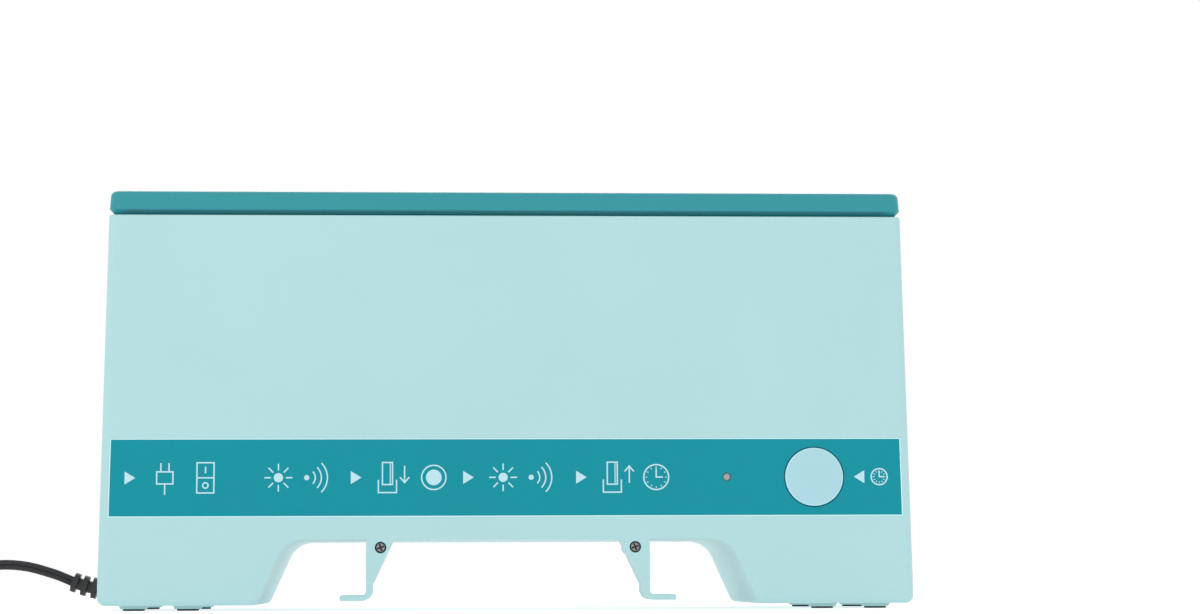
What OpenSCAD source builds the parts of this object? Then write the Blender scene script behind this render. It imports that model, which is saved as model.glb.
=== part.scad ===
// Thermal binding machine: a tall desk-top case on two legs, with a hinged lid over
// a heating slot and a cooling slot. Millimetres. X runs to the right, Y to the back
// and Z up, and the origin is on the table under the middle of the case.

/* [Case] */
// Width of the case, taken at table level
case_w = 406; // [396:1:430]
// Depth of the case, taken at table level
case_d = 138; // [135:1:150]
// Height of the case rim above the table
case_h = 198; // [190:1:215]
// Height of the legs' undersides above the table
case_floor = 2.6; // [2.4:0.1:4]
// Thickness of the moulded walls
wall = 2.5; // [2:0.1:3]
// Lean of the side walls from upright, in degrees
side_draft = 0.9; // [0.5:0.1:1.4]
// Lean of the front and rear walls from upright, in degrees
face_lean = 3; // [2:0.1:3.5]
// Radius of the outer edges
edge_r = 4; // [3:0.5:6]
// Depth of the front cover behind the front face, at table level
cover_d = 40; // [38:0.5:44]

/* [Arch and cord hooks] */
// Width of the arch between the legs, at table level
arch_w = 252; // [236:1:266]
// Height of the arch above the table
arch_h = 35; // [32:0.5:40]
// Slope of the sides of the arch from upright, in degrees
arch_slope = 24; // [15:1:30]
// Radius between the sides and the roof of the arch
arch_r = 14; // [8:1:18]
// Radius of the inner bottom corners of the legs
leg_r = 5; // [2:0.5:7]
// Distance between the outer faces of the two cord hooks
hook_span = 141; // [120:1:150]
// Thickness of the hook plates
hook_t = 2.9; // [2.4:0.1:3.6]
// Length of a hook tip, from the outer face of its upright
hook_tip = 13; // [10:0.5:15]
// Height of the hooks' undersides above the table
hook_floor = 4.6; // [3:0.2:7]
// Radius of the edges at a hook's tip
hook_end_r = 0.8; // [0.4:0.1:1.1]
// Inner radius of the hook bend
hook_bend = 2.2; // [1.5:0.1:3]
// Width of a hook's gusset at the roof of the arch
hook_root = 14; // [13:0.5:18]
// Height of the lower end of a gusset above the table
gusset_z = 12.5; // [11:0.5:16]
// Distance of a hook screw from the outer face of its hook
hook_screw_x = 7.2; // [6:0.2:8]
// Height of the hook screws above the table
hook_screw_z = 31; // [29:0.5:32]
// Depth of the pocket over a hook screw
hook_pocket = 3; // [2.5:0.5:12]

/* [Feet] */
// Radius of a rubber foot
foot_r = 5.5; // [4.5:0.25:6.5]
// Distance of the outer feet from the side of the case
foot_inset = 16; // [14:0.5:20]
// Distance between the two feet of a row on one leg
foot_pitch = 27; // [22:0.5:32]
// Distance between the front and the rear row of feet
foot_row = 82; // [80:1:96]
// Height of rubber under the foot bosses
foot_proud = 0.9; // [0.5:0.1:1.5]

/* [Lid and hinge] */
// Height of the lid
lid_h = 11.8; // [11:0.2:15]
// Gap under the closed lid
lid_gap = 0.3; // [0.2:0.1:0.8]
// Thickness of the lid's top
lid_t = 2.4; // [1.8:0.1:3]
// Height and depth of the bevel round the foot of the lid
lid_bevel = 2.6; // [1.5:0.1:3.2]
// Radius of the lid's upper edges
lid_round = 2.8; // [2:0.2:4]
// Radius of the lid's front corners in plan
lid_corner = 6; // [5:0.5:9]
// Distance of each hinge from the end of the lid
hinge_inset = 50; // [40:1:80]
// Width of a hinge knuckle
knuckle_w = 14; // [10:0.5:20]
// Radius of the hinge pins
pin_r = 2; // [1.5:0.1:2.5]

/* [Top deck] */
// Depth of the deck below the case rim
deck_drop = 4; // [3:0.5:5]
// Thickness of the deck
deck_t = 2.5; // [2:0.1:3]
// Distance of the deck screws from the side walls
deck_screw_x = 9; // [8:0.5:12]
// Distance of the deck screws from the front and rear walls
deck_screw_y = 11; // [9:0.5:14]

/* [Slots] */
// Distance of the slots' ends from the sides of the case
slot_end = 42; // [38:1:50]
// Share of the slots' room that the heating slot takes
slot_share = 0.5736; // [0.54:0.01:0.6]
// Distance of the heating slot behind the front face, at table level
slot_setback = 36; // [35.5:0.5:38]
// Distance between the two slots
slot_gap = 12; // [11:0.5:14]
// Distance of the cooling slot from the hinge knuckles
slot_back = 7.2; // [7:0.1:9]
// Height of the cooling slot's floor above the heater plate
cool_rise = 22; // [10:1:40]
// Wall of the cooling tray
cool_t = 1.8; // [1.4:0.1:2.2]
// Sheet thickness of the heating well and its tray
sheet = 1.2; // [0.8:0.1:1.5]

/* [Heater] */
// Height of the heater plate above the roof of the arch
plate_rise = 44.5; // [43:0.5:55]
// Thickness of the aluminium heater plate
plate_t = 8; // [6:0.5:10]
// Thickness of a heating element
element_t = 3; // [2:0.25:4]
// Width of a heating element
element_w = 26; // [20:0.5:28]
// Thickness of the insulation board
insulation_t = 5; // [4:0.5:7]
// Radius of the thermostat cap
stat_r = 8; // [6:0.5:9]

/* [Label and controls] */
// Height of the lower edge of the label strip, along the front face
label_z = 46.8; // [45:0.2:50]
// Height of the label strip
label_h = 38; // [36:0.5:44]
// Distance of the label strip from the sides of the case
label_inset = 5; // [4:0.5:8]
// Thickness of the label strip
label_t = 0.5; // [0.4:0.1:0.8]
// Distance of the timer button from the side of the case, at table level
button_side = 49.6; // [46:0.2:58]
// Radius of the timer button
button_r = 14.6; // [12:0.2:16]
// Gap round the timer button in the front face
button_gap = 0.6; // [0.4:0.1:0.8]
// Height of the timer button above the front face
button_proud = 1.4; // [1:0.1:2]
// Distance of the indicator lens from the timer button
lens_gap = 44; // [38:0.2:48]
// Radius of the indicator lens
lens_r = 2.1; // [1.6:0.1:2.6]

/* [Control board] */
// Distance of the board behind the front face
board_depth = 18; // [17.5:0.1:18.5]
// Width of the board
board_w = 100; // [96:1:104]
// Height of the board
board_h = 46; // [44:1:50]
// Thickness of the board
board_t = 1.6; // [1.2:0.1:1.8]
// Distance of the middle of the board from the timer button
board_shift = 20.4; // [18:0.2:22]

/* [Power switch] */
// Distance of the power switch behind the middle
switch_y = 20; // [0:1:35]
// Height of the power switch along the side wall
switch_z = 112; // [90:1:140]
// Length of the switch body, along the wall
switch_l = 21.6; // [20.6:0.2:24]
// Width of the switch body
switch_w = 13.6; // [12.8:0.2:16]
// Depth of the switch body behind the wall
switch_depth = 16; // [14:0.5:20]
// Tilt of the rocker on each side of level, in degrees
rocker_tilt = 9; // [6:0.5:11]

/* [Mains lead] */
// Height of the strain relief along the left wall
relief_z = 10; // [10:0.5:14]
// Distance of the strain relief behind the middle
relief_y = 40; // [30:1:46]
// Width of the flat twin lead
lead_w = 5.2; // [5:0.1:5.6]
// Thickness of the flat twin lead
lead_t = 3.4; // [3:0.1:3.6]

/* [Hidden] */
$fn = 48;

mint = "#b8e0e2";
teal = "#469da5";
label_teal = "#2397a4";
button_blue = "#b4dbe5";
charcoal = "#322f32";
steel = "#b9bcc0";
tin = "#d6d2c4";
board_green = "#2f6f4f";

// Clearances: between pieces that seat, pieces that run, and pieces that may move apart
seat = 0.1;
run = 0.05;
free = 0.3;

// Half the outer width and depth of the case at height z
function half_w(z) = case_w/2 - z*tan(side_draft);
function half_d(z) = case_d/2 - z*tan(face_lean);

part_y = -case_d/2 + cover_d;
deck_top = case_h - deck_drop;
deck_bottom = deck_top - deck_t;
foot_boss_z = foot_proud;
foot_seat_z = case_floor + 0.4;
leg_dip = 0.3;

// Lid and hinge
lid_z = case_h + lid_gap;
lid_x = half_w(case_h);
lid_y = half_d(case_h);
lid_lean = 0.5;
lid_rim = lid_bevel + 1.2;
nose_r = lid_h/2;
hinge_y = lid_y - nose_r;
hinge_z = lid_z + nose_r;
hinge_x = lid_x - hinge_inset;
knuckle_r = nose_r - 0.4;
pin_l = knuckle_w + 18;
bumper_r = 4;
bumper_x = lid_x - 30;
bumper_y = -lid_y + 14;

// Screws: radius of the head and of the shank
deck_head_r = 2.8;
deck_shank_r = 1.5;
deck_shank_l = 14;
hook_head_r = 2.6;
hook_shank_r = 1.6;
board_head_r = 2.4;
board_shank_r = 1.2;
board_thread = 8;

// Slots: inner faces of the heating well and of the cooling tray
slot_l = case_w - 2*slot_end;
heat_y0 = -case_d/2 + slot_setback;
slot_room = hinge_y - knuckle_r - slot_back - heat_y0 - slot_gap;
slot_w = slot_room*slot_share;
cool_w = slot_room - slot_w;
heat_yc = heat_y0 + slot_w/2;
cool_y0 = heat_y0 + slot_w + slot_gap;
cool_yc = cool_y0 + cool_w/2;
slot_corner = 4;
heat_rim = 4;
cool_rim = 2.5;
plate_top = arch_h + wall + plate_rise;
cool_floor = plate_top + cool_rise;
element_top = plate_top - plate_t;
insulation_top = element_top - element_t;
tray_floor_top = insulation_top - insulation_t;
tray_bottom = tray_floor_top - sheet;
tray_wall_h = insulation_t + element_t + plate_t + 8;
rivet_z = plate_top + 3;
rivet_r = 1.6;
stat_gap = stat_r + 4;
element_l = slot_l/2 - stat_gap - 6;
fuse_x = 46;
fuse_r = 2.2;
fuse_l = 14;
fuse_tail = 10;
fuse_z = tray_bottom - fuse_r - 0.1;
stat_body_l = 8;
stat_blade_x = 4;
element_tail = 12;
tail_z = insulation_top + element_t/2;

// Front controls, on axes square to the front face
control_z = label_z + label_h/2;
button_x = case_w/2 - button_side;
lens_x = button_x - lens_gap;
board_x = button_x - board_shift;
label_sunk = 0.3;
guide_gap = 0.25;
guide_end = 10;
guide_t = 2;
button_hole = button_r + button_gap;
button_skin = 1.4;
button_crown = 0.5;
button_wall = 1.8;
stem_r = 3;
flange_t = 1.5;
flange_w = guide_end + 0.2;
stem_end = flange_w + flange_t + 0.9;
plunger_r = 1.7;
tact_h = 3.4;
tact_size = 6;
tact_front = board_depth - tact_h;
plunger_l = 3;
spring_wire = 0.8;
spring_r = 5.4;
spring_turns = 5;
lens_face = label_sunk - label_t;
lens_end = guide_end + 0.8;
lens_boss = guide_end - 1;
board_back = board_depth + board_t;
board_post_r = 3;
board_hole_x = board_w/2 - 6;
board_hole_z = board_h/2 - 6;
part_h = 8;
block_x = board_x + 16;
block_z = control_z - 15;
block_ways = 5;
block_pitch = 5;
block_hole = 2;

// Vents in the rear wall, in two groups behind the heater
vents = 9;
vent_w = 3;
vent_h = 42;
vent_pitch = 8;
vent_z = plate_top - vent_h/2;

// Power switch, sunk in a recess of the side wall
switch_sink = 2.5;
recess_gap = 1.5;
bezel = 1.2;
bezel_t = 1.6;
switch_rim = 1.5;
rocker_half = switch_l/2 - switch_rim - 1.2;
rocker_w = switch_w - 2*switch_rim - 2*free;
pivot_x = -2;
pivot_r = 1.2;
rocker_edge = 4.6;
rocker_dish = 1.6;
rocker_belly = 3.2;
blade = [9, 0.8, 4.8];
blade_z = 6;

// Strain relief: a tail of ribs on an arc that climbs from the wall
relief_flange_r = 6;
relief_flange_t = 2;
relief_arc_r = 60;
relief_arc = 22;
relief_ribs = 4;
relief_core_r = 3.2;
relief_hole_r = 4;
relief_lip = 0.35;
relief_play = 0.5;
relief_lip_t = 2;

// The lead's loose stretch, past its straight start at the strain relief, given
// by distance from the side of the case and height
lead_points = [
  for (p = [[47, 22.4], [59, 23.6], [71, 22.6], [83, 19.4], [95, 14.6], [107, 9.6], [119, 5.8], [131, 4]])
    [-case_w/2 - p[0], relief_y, p[1]]
];

// The coil of the length that is put away, wound in two layers of upright flat lead
coil_pitch = 4;
coil_layer = 5.8;
coil_out_r = 35.5;
coil_turns = 3.375;
coil_steps = 24;
coil_side = 147;
coil_x = -case_w/2 - coil_side;
coil_y = relief_y - coil_out_r;
tie_t = 0.8;
tie_w = 8;
coil_z = tie_t + 0.2 + lead_w/2;
coil_in = coil_turns*360;
coil_all = 2*coil_in + 180;
coil_lead = 6;

// Plug, flat on the table beside the coil
plug_flange = [35.3, 13.7, 6.3];
plug_body_l = 21;
plug_tail_l = 20.8;
plug_tail_r = 5.1;
plug_z = plug_flange[1]/2;
plug_ahead = 36;
plug_tail_y = coil_y - plug_ahead;
plug_x = coil_x - coil_out_r;
plug_pin_r = 2;
plug_pin_pitch = 18.6;
plug_pin_lean = 1.6;
plug_sleeve_l = 10;
plug_tip_l = 9;

// Placing

// Frame of the front face: Y runs inward from the face, Z up along it
module on_front() {
  translate([0, -case_d/2, 0]) rotate([-face_lean, 0, 0]) children();
}

// Axis square to the front face at x, z, with Z running inward
module front_axis(x, z) {
  on_front() translate([x, 0, z]) rotate([-90, 0, 0]) children();
}

// Frame of a side wall: X runs outward from the wall, Z up along it
module on_side(side) {
  mirror([side < 0 ? 1 : 0, 0, 0])
    translate([case_w/2, 0, 0]) rotate([0, -side_draft, 0]) children();
}

module both_sides() {
  for (side = [0, 1]) mirror([side, 0, 0]) children();
}

module at_feet(y_list) {
  for (y = y_list, x = [0, foot_pitch])
    both_sides() translate([case_w/2 - foot_inset - x, y, 0]) children();
}

module at_deck_screws(y_sign) {
  both_sides()
    translate([half_w(deck_top) - wall - deck_screw_x, y_sign*(half_d(deck_top) - wall - deck_screw_y), 0])
      children();
}

module at_board_holes() {
  for (x = [-1, 1], z = [-1, 1])
    front_axis(board_x + x*board_hole_x, control_z + z*board_hole_z) children();
}

// Shared shapes

module rounded_rect(w, d, r) {
  square([w - 2*r, d], center = true);
  square([w, d - 2*r], center = true);
  for (x = [-1, 1], y = [-1, 1]) translate([x*(w/2 - r), y*(d/2 - r)]) circle(r);
}

module stadium(w, d) {
  square([w - d, d], center = true);
  for (x = [-1, 1]) translate([x*(w - d)/2, 0]) circle(d/2);
}

// Screw with its head's underside at z = 0 and its shank running to -Z
module screw(head_r, head_h, shank_r, shank_l) {
  difference() {
    cylinder(r = head_r, h = head_h);
    for (a = [0, 90])
      rotate(a) translate([-head_r*0.6, -head_r*0.13, head_h/2]) cube([head_r*1.2, head_r*0.26, head_h]);
  }
  translate([0, 0, -shank_l]) cylinder(r = shank_r, h = shank_l);
}

// Upright flat oval, n points round each end
function oval(n) = [
  for (side = [1, -1], i = [0:n - 1])
    let (a = i*180/(n - 1))
    [side*lead_t/2*cos(a), side*((lead_w - lead_t)/2 + lead_t/2*sin(a))]
];

function unit(v) = v/norm(v);
function along(path, i) = unit(path[min(i + 1, len(path) - 1)] - path[max(i - 1, 0)]);
function circle_ring(r, n) = [for (i = [0:n - 1]) r*[cos(i*360/n), sin(i*360/n)]];

// One closed tube of the given cross-section along a path that never runs along ref
module swept(path, ring, ref = [0, 0, 1]) {
  n = len(ring);
  rings = [
    for (i = [0:len(path) - 1])
      let (t = along(path, i), side = unit(cross(t, ref)), up = cross(side, t))
      for (p = ring) path[i] + p[0]*side + p[1]*up
  ];
  last = len(rings) - n;
  skin = [
    for (i = [0:len(path) - 2], k = [0:n - 1])
      let (a = i*n + k, b = i*n + (k + 1) % n)
      each [[a, b, b + n], [a, b + n, a + n]]
  ];
  caps = [for (k = [1:n - 2]) each [[0, k + 1, k], [last, last + k, last + k + 1]]];
  polyhedron(points = rings, faces = concat(skin, caps), convexity = 10);
}

// Case

// Rounded, tapered block: the outer form of the case, or its cavity, from z0 to z1
module case_form(inset, r, z0, z1, facets) {
  hull()
    for (x = [-1, 1], y = [-1, 1], z = [z0 + r, z1])
      translate([
        x*(half_w(z) - (inset + r)/cos(side_draft)),
        y*(half_d(z) - (inset + r)/cos(face_lean)), z
      ]) sphere(r, $fn = facets);
}

// Outline of the arch, grown outward
module arch_outline(grow) {
  slope = tan(arch_slope);
  top = arch_h + grow;
  r = arch_r + grow;
  half = arch_w/2 + grow/cos(arch_slope);
  cx = half - (top - r)*slope - r/cos(arch_slope);
  tx = cx + r*cos(arch_slope);
  tz = top - r + r*sin(arch_slope);
  low = -5;
  polygon([
    [-half + low*slope, low], [half - low*slope, low], [tx, tz], [cx, top], [-cx, top], [-tx, tz]
  ]);
  for (x = [-1, 1]) translate([x*cx, top - r]) circle(r);
}

// Corner that is rounded off the inner bottom edge of the right leg
module leg_corner() {
  slope = tan(arch_slope);
  zc = case_floor + leg_r - leg_dip;
  xc = arch_w/2 - zc*slope + (leg_r - leg_dip)/cos(arch_slope);
  low = case_floor - 1;
  difference() {
    polygon([
      [xc - leg_r*cos(arch_slope), zc - leg_r*sin(arch_slope)], [xc, zc], [xc, low],
      [arch_w/2 - low*slope, low]
    ]);
    translate([xc, zc]) circle(leg_r);
  }
}

// Lets a flat outline run through the whole depth of the case
module through_case() {
  translate([0, case_d, 0]) rotate([90, 0, 0]) linear_extrude(2*case_d) children();
}

module case_shell(y0, y1) {
  inner_r = max(edge_r - wall, 0.6);
  intersection() {
    difference() {
      case_form(0, edge_r, case_floor, case_h, 32);
      through_case() arch_outline(0);
      through_case() both_sides() leg_corner();
      difference() {
        case_form(wall, inner_r, case_floor + wall, case_h + edge_r, 16);
        through_case() arch_outline(wall);
      }
    }
    translate([-case_w, y0, 0]) cube([2*case_w, y1 - y0, case_h]);
  }
}

module foot_bosses(y) {
  boss_h = case_floor + wall/2 - foot_boss_z;
  at_feet([y]) translate([0, 0, foot_boss_z])
    cylinder(r1 = foot_r + 1.2, r2 = foot_r + 2.8, h = boss_h);
}

module foot_pockets(y) {
  at_feet([y]) translate([0, 0, -1]) cylinder(r = foot_r + seat, h = foot_seat_z + 1);
}

// Posts under the deck, each with a web to the side wall
module deck_posts(y_sign) {
  post_r = 4;
  post_l = 24;
  at_deck_screws(y_sign) translate([0, 0, deck_bottom - post_l]) {
    cylinder(r = post_r, h = post_l);
    translate([0, -1, 0]) cube([deck_screw_x + wall/2, 2, post_l]);
  }
}

module deck_post_bores(y_sign) {
  at_deck_screws(y_sign) translate([0, 0, deck_bottom - deck_shank_l])
    cylinder(r = deck_shank_r + run, h = deck_shank_l + deck_drop);
}

module hook_outline() {
  x = hook_span/2;
  bend_r = hook_bend + hook_t;
  bend_z = hook_floor + bend_r;
  polygon([
    [x, bend_z], [x, arch_h + wall/2], [x - hook_root, arch_h + wall/2], [x - hook_t, gusset_z],
    [x - hook_t, bend_z]
  ]);
  translate([x + hook_bend, bend_z]) intersection() {
    difference() {
      circle(bend_r);
      circle(hook_bend);
    }
    translate([-bend_r, -bend_r]) square(bend_r);
  }
  translate([x + hook_bend, hook_floor]) square([hook_tip - hook_bend - hook_end_r, hook_t]);
  translate([x + hook_tip - 2*hook_end_r, hook_floor + hook_end_r])
    square([2*hook_end_r, hook_t - 2*hook_end_r]);
  for (z = [hook_end_r, hook_t - hook_end_r])
    translate([x + hook_tip - hook_end_r, hook_floor + z]) circle(hook_end_r);
}

// Cord hooks, flush with the front face and as deep as the front cover
module hooks() {
  intersection() {
    both_sides() translate([0, part_y, 0]) rotate([90, 0, 0]) linear_extrude(cover_d + 5) hook_outline();
    on_front() translate([-case_w/2, 0, -case_h/2]) cube([case_w, case_d, case_h]);
  }
}

module at_hook_screws() {
  both_sides() translate([hook_span/2 - hook_screw_x, 0, hook_screw_z]) rotate([90, 0, 0]) children();
}

// Distance of the front face from the middle plane at the height of the hook screws
hook_face = half_d(hook_screw_z);

module label_outline(inset) {
  z1 = label_z + label_h;
  polygon([
    [-half_w(label_z) + inset, label_z], [half_w(label_z) - inset, label_z],
    [half_w(z1) - inset, z1], [-half_w(z1) + inset, z1]
  ]);
}

// Plate in the label's recess, thick outward from the floor of the recess
module label_plate(thick, inset) {
  on_front() rotate([90, 0, 0]) translate([0, 0, -label_sunk]) linear_extrude(thick) label_outline(inset);
}

module front_cover() {
  color(mint) difference() {
    union() {
      case_shell(-case_d, part_y);
      hooks();
      foot_bosses(-foot_row/2);
      deck_posts(-1);
      front_axis(button_x, control_z) translate([0, 0, wall/2])
        cylinder(r = button_r + guide_gap + guide_t, h = guide_end - wall/2);
      front_axis(lens_x, control_z) translate([0, 0, wall/2])
        cylinder(r = lens_r + 2, h = lens_boss - wall/2);
      at_board_holes() translate([0, 0, wall/2]) cylinder(r = board_post_r, h = board_depth - wall/2);
    }
    foot_pockets(-foot_row/2);
    deck_post_bores(-1);
    label_plate(5, label_inset - seat);
    front_axis(button_x, control_z) {
      translate([0, 0, -5]) cylinder(r = button_hole, h = wall + 5);
      cylinder(r = button_r + guide_gap, h = guide_end + 1);
    }
    front_axis(lens_x, control_z) translate([0, 0, -5]) cylinder(r = lens_r + seat, h = guide_end + 6);
    at_board_holes() translate([0, 0, board_depth - board_thread])
      cylinder(r = board_shank_r + run, h = board_thread + 1);
    at_hook_screws() {
      translate([0, 0, hook_face - hook_pocket]) cylinder(r = hook_head_r + free, h = hook_pocket + 5);
      translate([0, 0, -part_y - 1]) cylinder(r = hook_shank_r + seat, h = cover_d);
    }
  }
}

// Tongues that locate the front cover on the housing
module cover_tongues() {
  tongue_t = 1.6;
  tongue_l = 12;
  reach = 5;
  for (side = [-1, 1], i = [1:3])
    on_side(side) translate([0, part_y, i*case_h/4]) {
      translate([-wall - tongue_t, 0, 0]) cube([tongue_t + 0.3, reach, tongue_l]);
      translate([-wall - tongue_t, -reach, 0]) cube([tongue_t - 0.2, 2*reach, tongue_l]);
    }
}

module rear_vents() {
  vent_x = case_w/4;
  vent_y = half_d(vent_z + vent_h) - 2*wall;
  for (side = [-1, 1], i = [0:vents - 1])
    translate([side*vent_x + (i - (vents - 1)/2)*vent_pitch - vent_w/2, vent_y, vent_z])
      cube([vent_w, case_d/2 - vent_y, vent_h]);
}

module main_housing() {
  boss_l = 16;
  boss_r = hook_shank_r + 2;
  color(mint) difference() {
    union() {
      case_shell(part_y, case_d);
      foot_bosses(foot_row/2);
      deck_posts(1);
      at_hook_screws() translate([0, 0, -part_y - boss_l]) {
        cylinder(r = boss_r, h = boss_l);
        translate([-boss_r, 0, 0]) cube([2*boss_r, arch_h + wall/2 - hook_screw_z, boss_l]);
      }
      cover_tongues();
      switch_block(-wall, switch_sink - wall/2, bezel + recess_gap + wall);
    }
    foot_pockets(foot_row/2);
    deck_post_bores(1);
    at_hook_screws() translate([0, 0, -part_y - boss_l + 2]) cylinder(r = hook_shank_r + run, h = boss_l);
    rear_vents();
    switch_block(0, switch_sink + 5, bezel + recess_gap);
    switch_block(-wall - 1, 5, 0.2);
    on_side(-1) translate([-wall - 3, relief_y, relief_z]) rotate([0, 90, 0])
      cylinder(r = relief_hole_r, h = wall + 6);
  }
}

// Outline of a slot of the given width, grown outward
module slot_outline(width, grow) {
  rounded_rect(slot_l + 2*grow, width + 2*grow, slot_corner + grow);
}

// Deck plate with the two slots and the hinge knuckles
module top_deck() {
  w = 2*(half_w(deck_top) - wall - 0.4);
  d = 2*(half_d(deck_top) - wall - 0.4);
  stem_y0 = hinge_y - knuckle_r;
  stem_y1 = lid_y - wall - 0.6;
  color(mint) difference() {
    union() {
      translate([0, 0, deck_bottom]) linear_extrude(deck_t) rounded_rect(w, d, 3);
      both_sides() translate([hinge_x - knuckle_w/2, 0, 0]) {
        translate([0, stem_y0, deck_top - 0.5])
          cube([knuckle_w, stem_y1 - stem_y0, hinge_z - deck_top + 0.5]);
        translate([0, hinge_y, hinge_z]) rotate([0, 90, 0]) cylinder(r = knuckle_r, h = knuckle_w);
      }
    }
    translate([0, heat_yc, deck_bottom - 1]) linear_extrude(deck_t + 2)
      slot_outline(slot_w, sheet + free);
    translate([0, cool_yc, deck_bottom - 1]) linear_extrude(deck_t + 2)
      slot_outline(cool_w, cool_t + free);
    both_sides() translate([hinge_x - knuckle_w, hinge_y, hinge_z]) rotate([0, 90, 0])
      cylinder(r = pin_r + run, h = 2*knuckle_w);
    for (y = [-1, 1]) at_deck_screws(y) translate([0, 0, deck_bottom - 1])
      cylinder(r = deck_shank_r + seat, h = deck_t + 2);
    both_sides() translate([bumper_x, bumper_y, deck_bottom - 1]) cylinder(r = 2 + seat, h = deck_t + 2);
  }
}

module deck_screws() {
  color(steel) for (y = [-1, 1]) at_deck_screws(y) translate([0, 0, deck_top])
    screw(deck_head_r, 1.8, deck_shank_r, deck_shank_l);
}

// Lid

// Front corner of the lid: bevelled lower edge, leaning side and rounded upper edge
module lid_corner_post() {
  top_r = lid_corner - lid_lean - lid_round;
  rotate_extrude($fn = 32) polygon(concat(
    [[0, 0], [lid_corner - lid_bevel, 0], [lid_corner, lid_bevel]],
    [for (a = [0:15:90]) [top_r + lid_round*cos(a), lid_h - lid_round + lid_round*sin(a)]],
    [[0, lid_h]]
  ));
}

module lid() {
  rib_t = 1.6;
  long_rib_gap = 0.2;
  hollow_y0 = -lid_y + lid_rim;
  hollow_y1 = hinge_y - nose_r - 2;
  hollow_h = lid_h - lid_t;
  notch_w = knuckle_w + 0.8;
  color(teal) difference() {
    union() {
      difference() {
        hull() both_sides() {
          translate([lid_x - lid_corner, -lid_y + lid_corner, lid_z]) lid_corner_post();
          translate([lid_x - nose_r - lid_lean, hinge_y, hinge_z]) rotate([0, 90, 0])
            sphere(nose_r, $fn = 32);
        }
        translate([0, (hollow_y0 + hollow_y1)/2, lid_z - 1]) linear_extrude(hollow_h + 1)
          rounded_rect(2*(lid_x - lid_rim), hollow_y1 - hollow_y0, 2.5);
      }
      // Cross ribs, a long rib nearly as deep as the rim, and posts over the bumpers
      for (x = [-2:2]) translate([x*lid_x/3 - rib_t/2, hollow_y0 - 1, lid_z + lid_bevel])
        cube([rib_t, hollow_y1 - hollow_y0 + 2, hollow_h - lid_bevel + 0.5]);
      translate([-lid_x + lid_rim - 1, -rib_t/2, lid_z + long_rib_gap])
        cube([2*(lid_x - lid_rim) + 2, rib_t, hollow_h - long_rib_gap + 0.5]);
      both_sides() translate([bumper_x, bumper_y, lid_z]) cylinder(r = bumper_r, h = hollow_h + 0.5);
    }
    both_sides() {
      translate([hinge_x - notch_w/2, hinge_y - knuckle_r - 0.35, lid_z - 1])
        cube([notch_w, lid_h, lid_h + 2]);
      translate([hinge_x - pin_l/2 - 0.5, hinge_y, hinge_z]) rotate([0, 90, 0])
        cylinder(r = pin_r + run/2, h = pin_l + 1);
    }
  }
}

module hinge_pins() {
  color(steel) both_sides() translate([hinge_x - pin_l/2, hinge_y, hinge_z]) rotate([0, 90, 0])
    cylinder(r = pin_r, h = pin_l);
}

module lid_bumpers() {
  color(charcoal) both_sides() translate([bumper_x, bumper_y, 0]) {
    translate([0, 0, deck_bottom]) cylinder(r = 2, h = deck_t);
    translate([0, 0, deck_top]) cylinder(r = bumper_r, h = lid_z - free - deck_top);
  }
}

// Front panel

module label_strip() {
  color(label_teal) difference() {
    label_plate(label_t, label_inset);
    front_axis(button_x, control_z) translate([0, 0, -2]) cylinder(r = button_hole, h = 4);
    front_axis(lens_x, control_z) translate([0, 0, -2]) cylinder(r = lens_r + seat, h = 4);
  }
}

module rubber_feet() {
  color(charcoal) at_feet([-foot_row/2, foot_row/2]) cylinder(r = foot_r, h = foot_seat_z);
}

module hook_screws() {
  shank_l = hook_face - hook_pocket + part_y + 11;
  color(charcoal) at_hook_screws() translate([0, 0, hook_face - hook_pocket])
    screw(hook_head_r, 2, hook_shank_r, shank_l);
}

// Half section of the button: crowned face, skirt that runs in the guide, flange and stem
module button_section() {
  crown_r = (button_r*button_r + button_crown*button_crown)/(2*button_crown);
  difference() {
    union() {
      intersection() {
        translate([0, -button_proud]) square([button_r, flange_w + button_proud]);
        translate([0, crown_r - button_proud]) circle(crown_r, $fn = 256);
      }
      translate([0, flange_w]) square([button_hole + 1.4, flange_t]);
    }
    translate([stem_r, button_skin]) square([button_r - button_wall - stem_r, flange_w + flange_t]);
  }
  translate([0, flange_w]) square([stem_r, stem_end - flange_w]);
}

module timer_button() {
  color(button_blue) front_axis(button_x, control_z) rotate_extrude() button_section();
}

module switch_plunger() {
  color("#3a3f45") front_axis(button_x, control_z) translate([0, 0, stem_end])
    cylinder(r = plunger_r, h = plunger_l);
}

// Return spring round the button stem, between the cap and the board
module button_spring() {
  z0 = button_skin + spring_wire/2 + 0.1;
  z1 = board_depth - spring_wire/2 - 0.1;
  steps = spring_turns*8;
  path = [
    for (i = [0:steps])
      [spring_r*cos(i*45), spring_r*sin(i*45), z0 + (z1 - z0)*i/steps]
  ];
  color(steel) front_axis(button_x, control_z) swept(path, circle_ring(spring_wire/2, 6));
}

module tact_switch() {
  color("#4a4f55") front_axis(button_x, control_z) difference() {
    translate([-tact_size/2, -tact_size/2, tact_front]) cube([tact_size, tact_size, tact_h]);
    translate([0, 0, tact_front - 1]) cylinder(r = plunger_r + 0.2, h = tact_h + 0.6);
  }
}

module led_lens() {
  color("#a8a9ac") front_axis(lens_x, control_z) {
    translate([0, 0, lens_face]) cylinder(r = lens_r, h = lens_end - lens_face);
    translate([0, 0, lens_boss + seat]) cylinder(r = lens_r + 1.2, h = lens_end - lens_boss - seat);
  }
}

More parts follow.
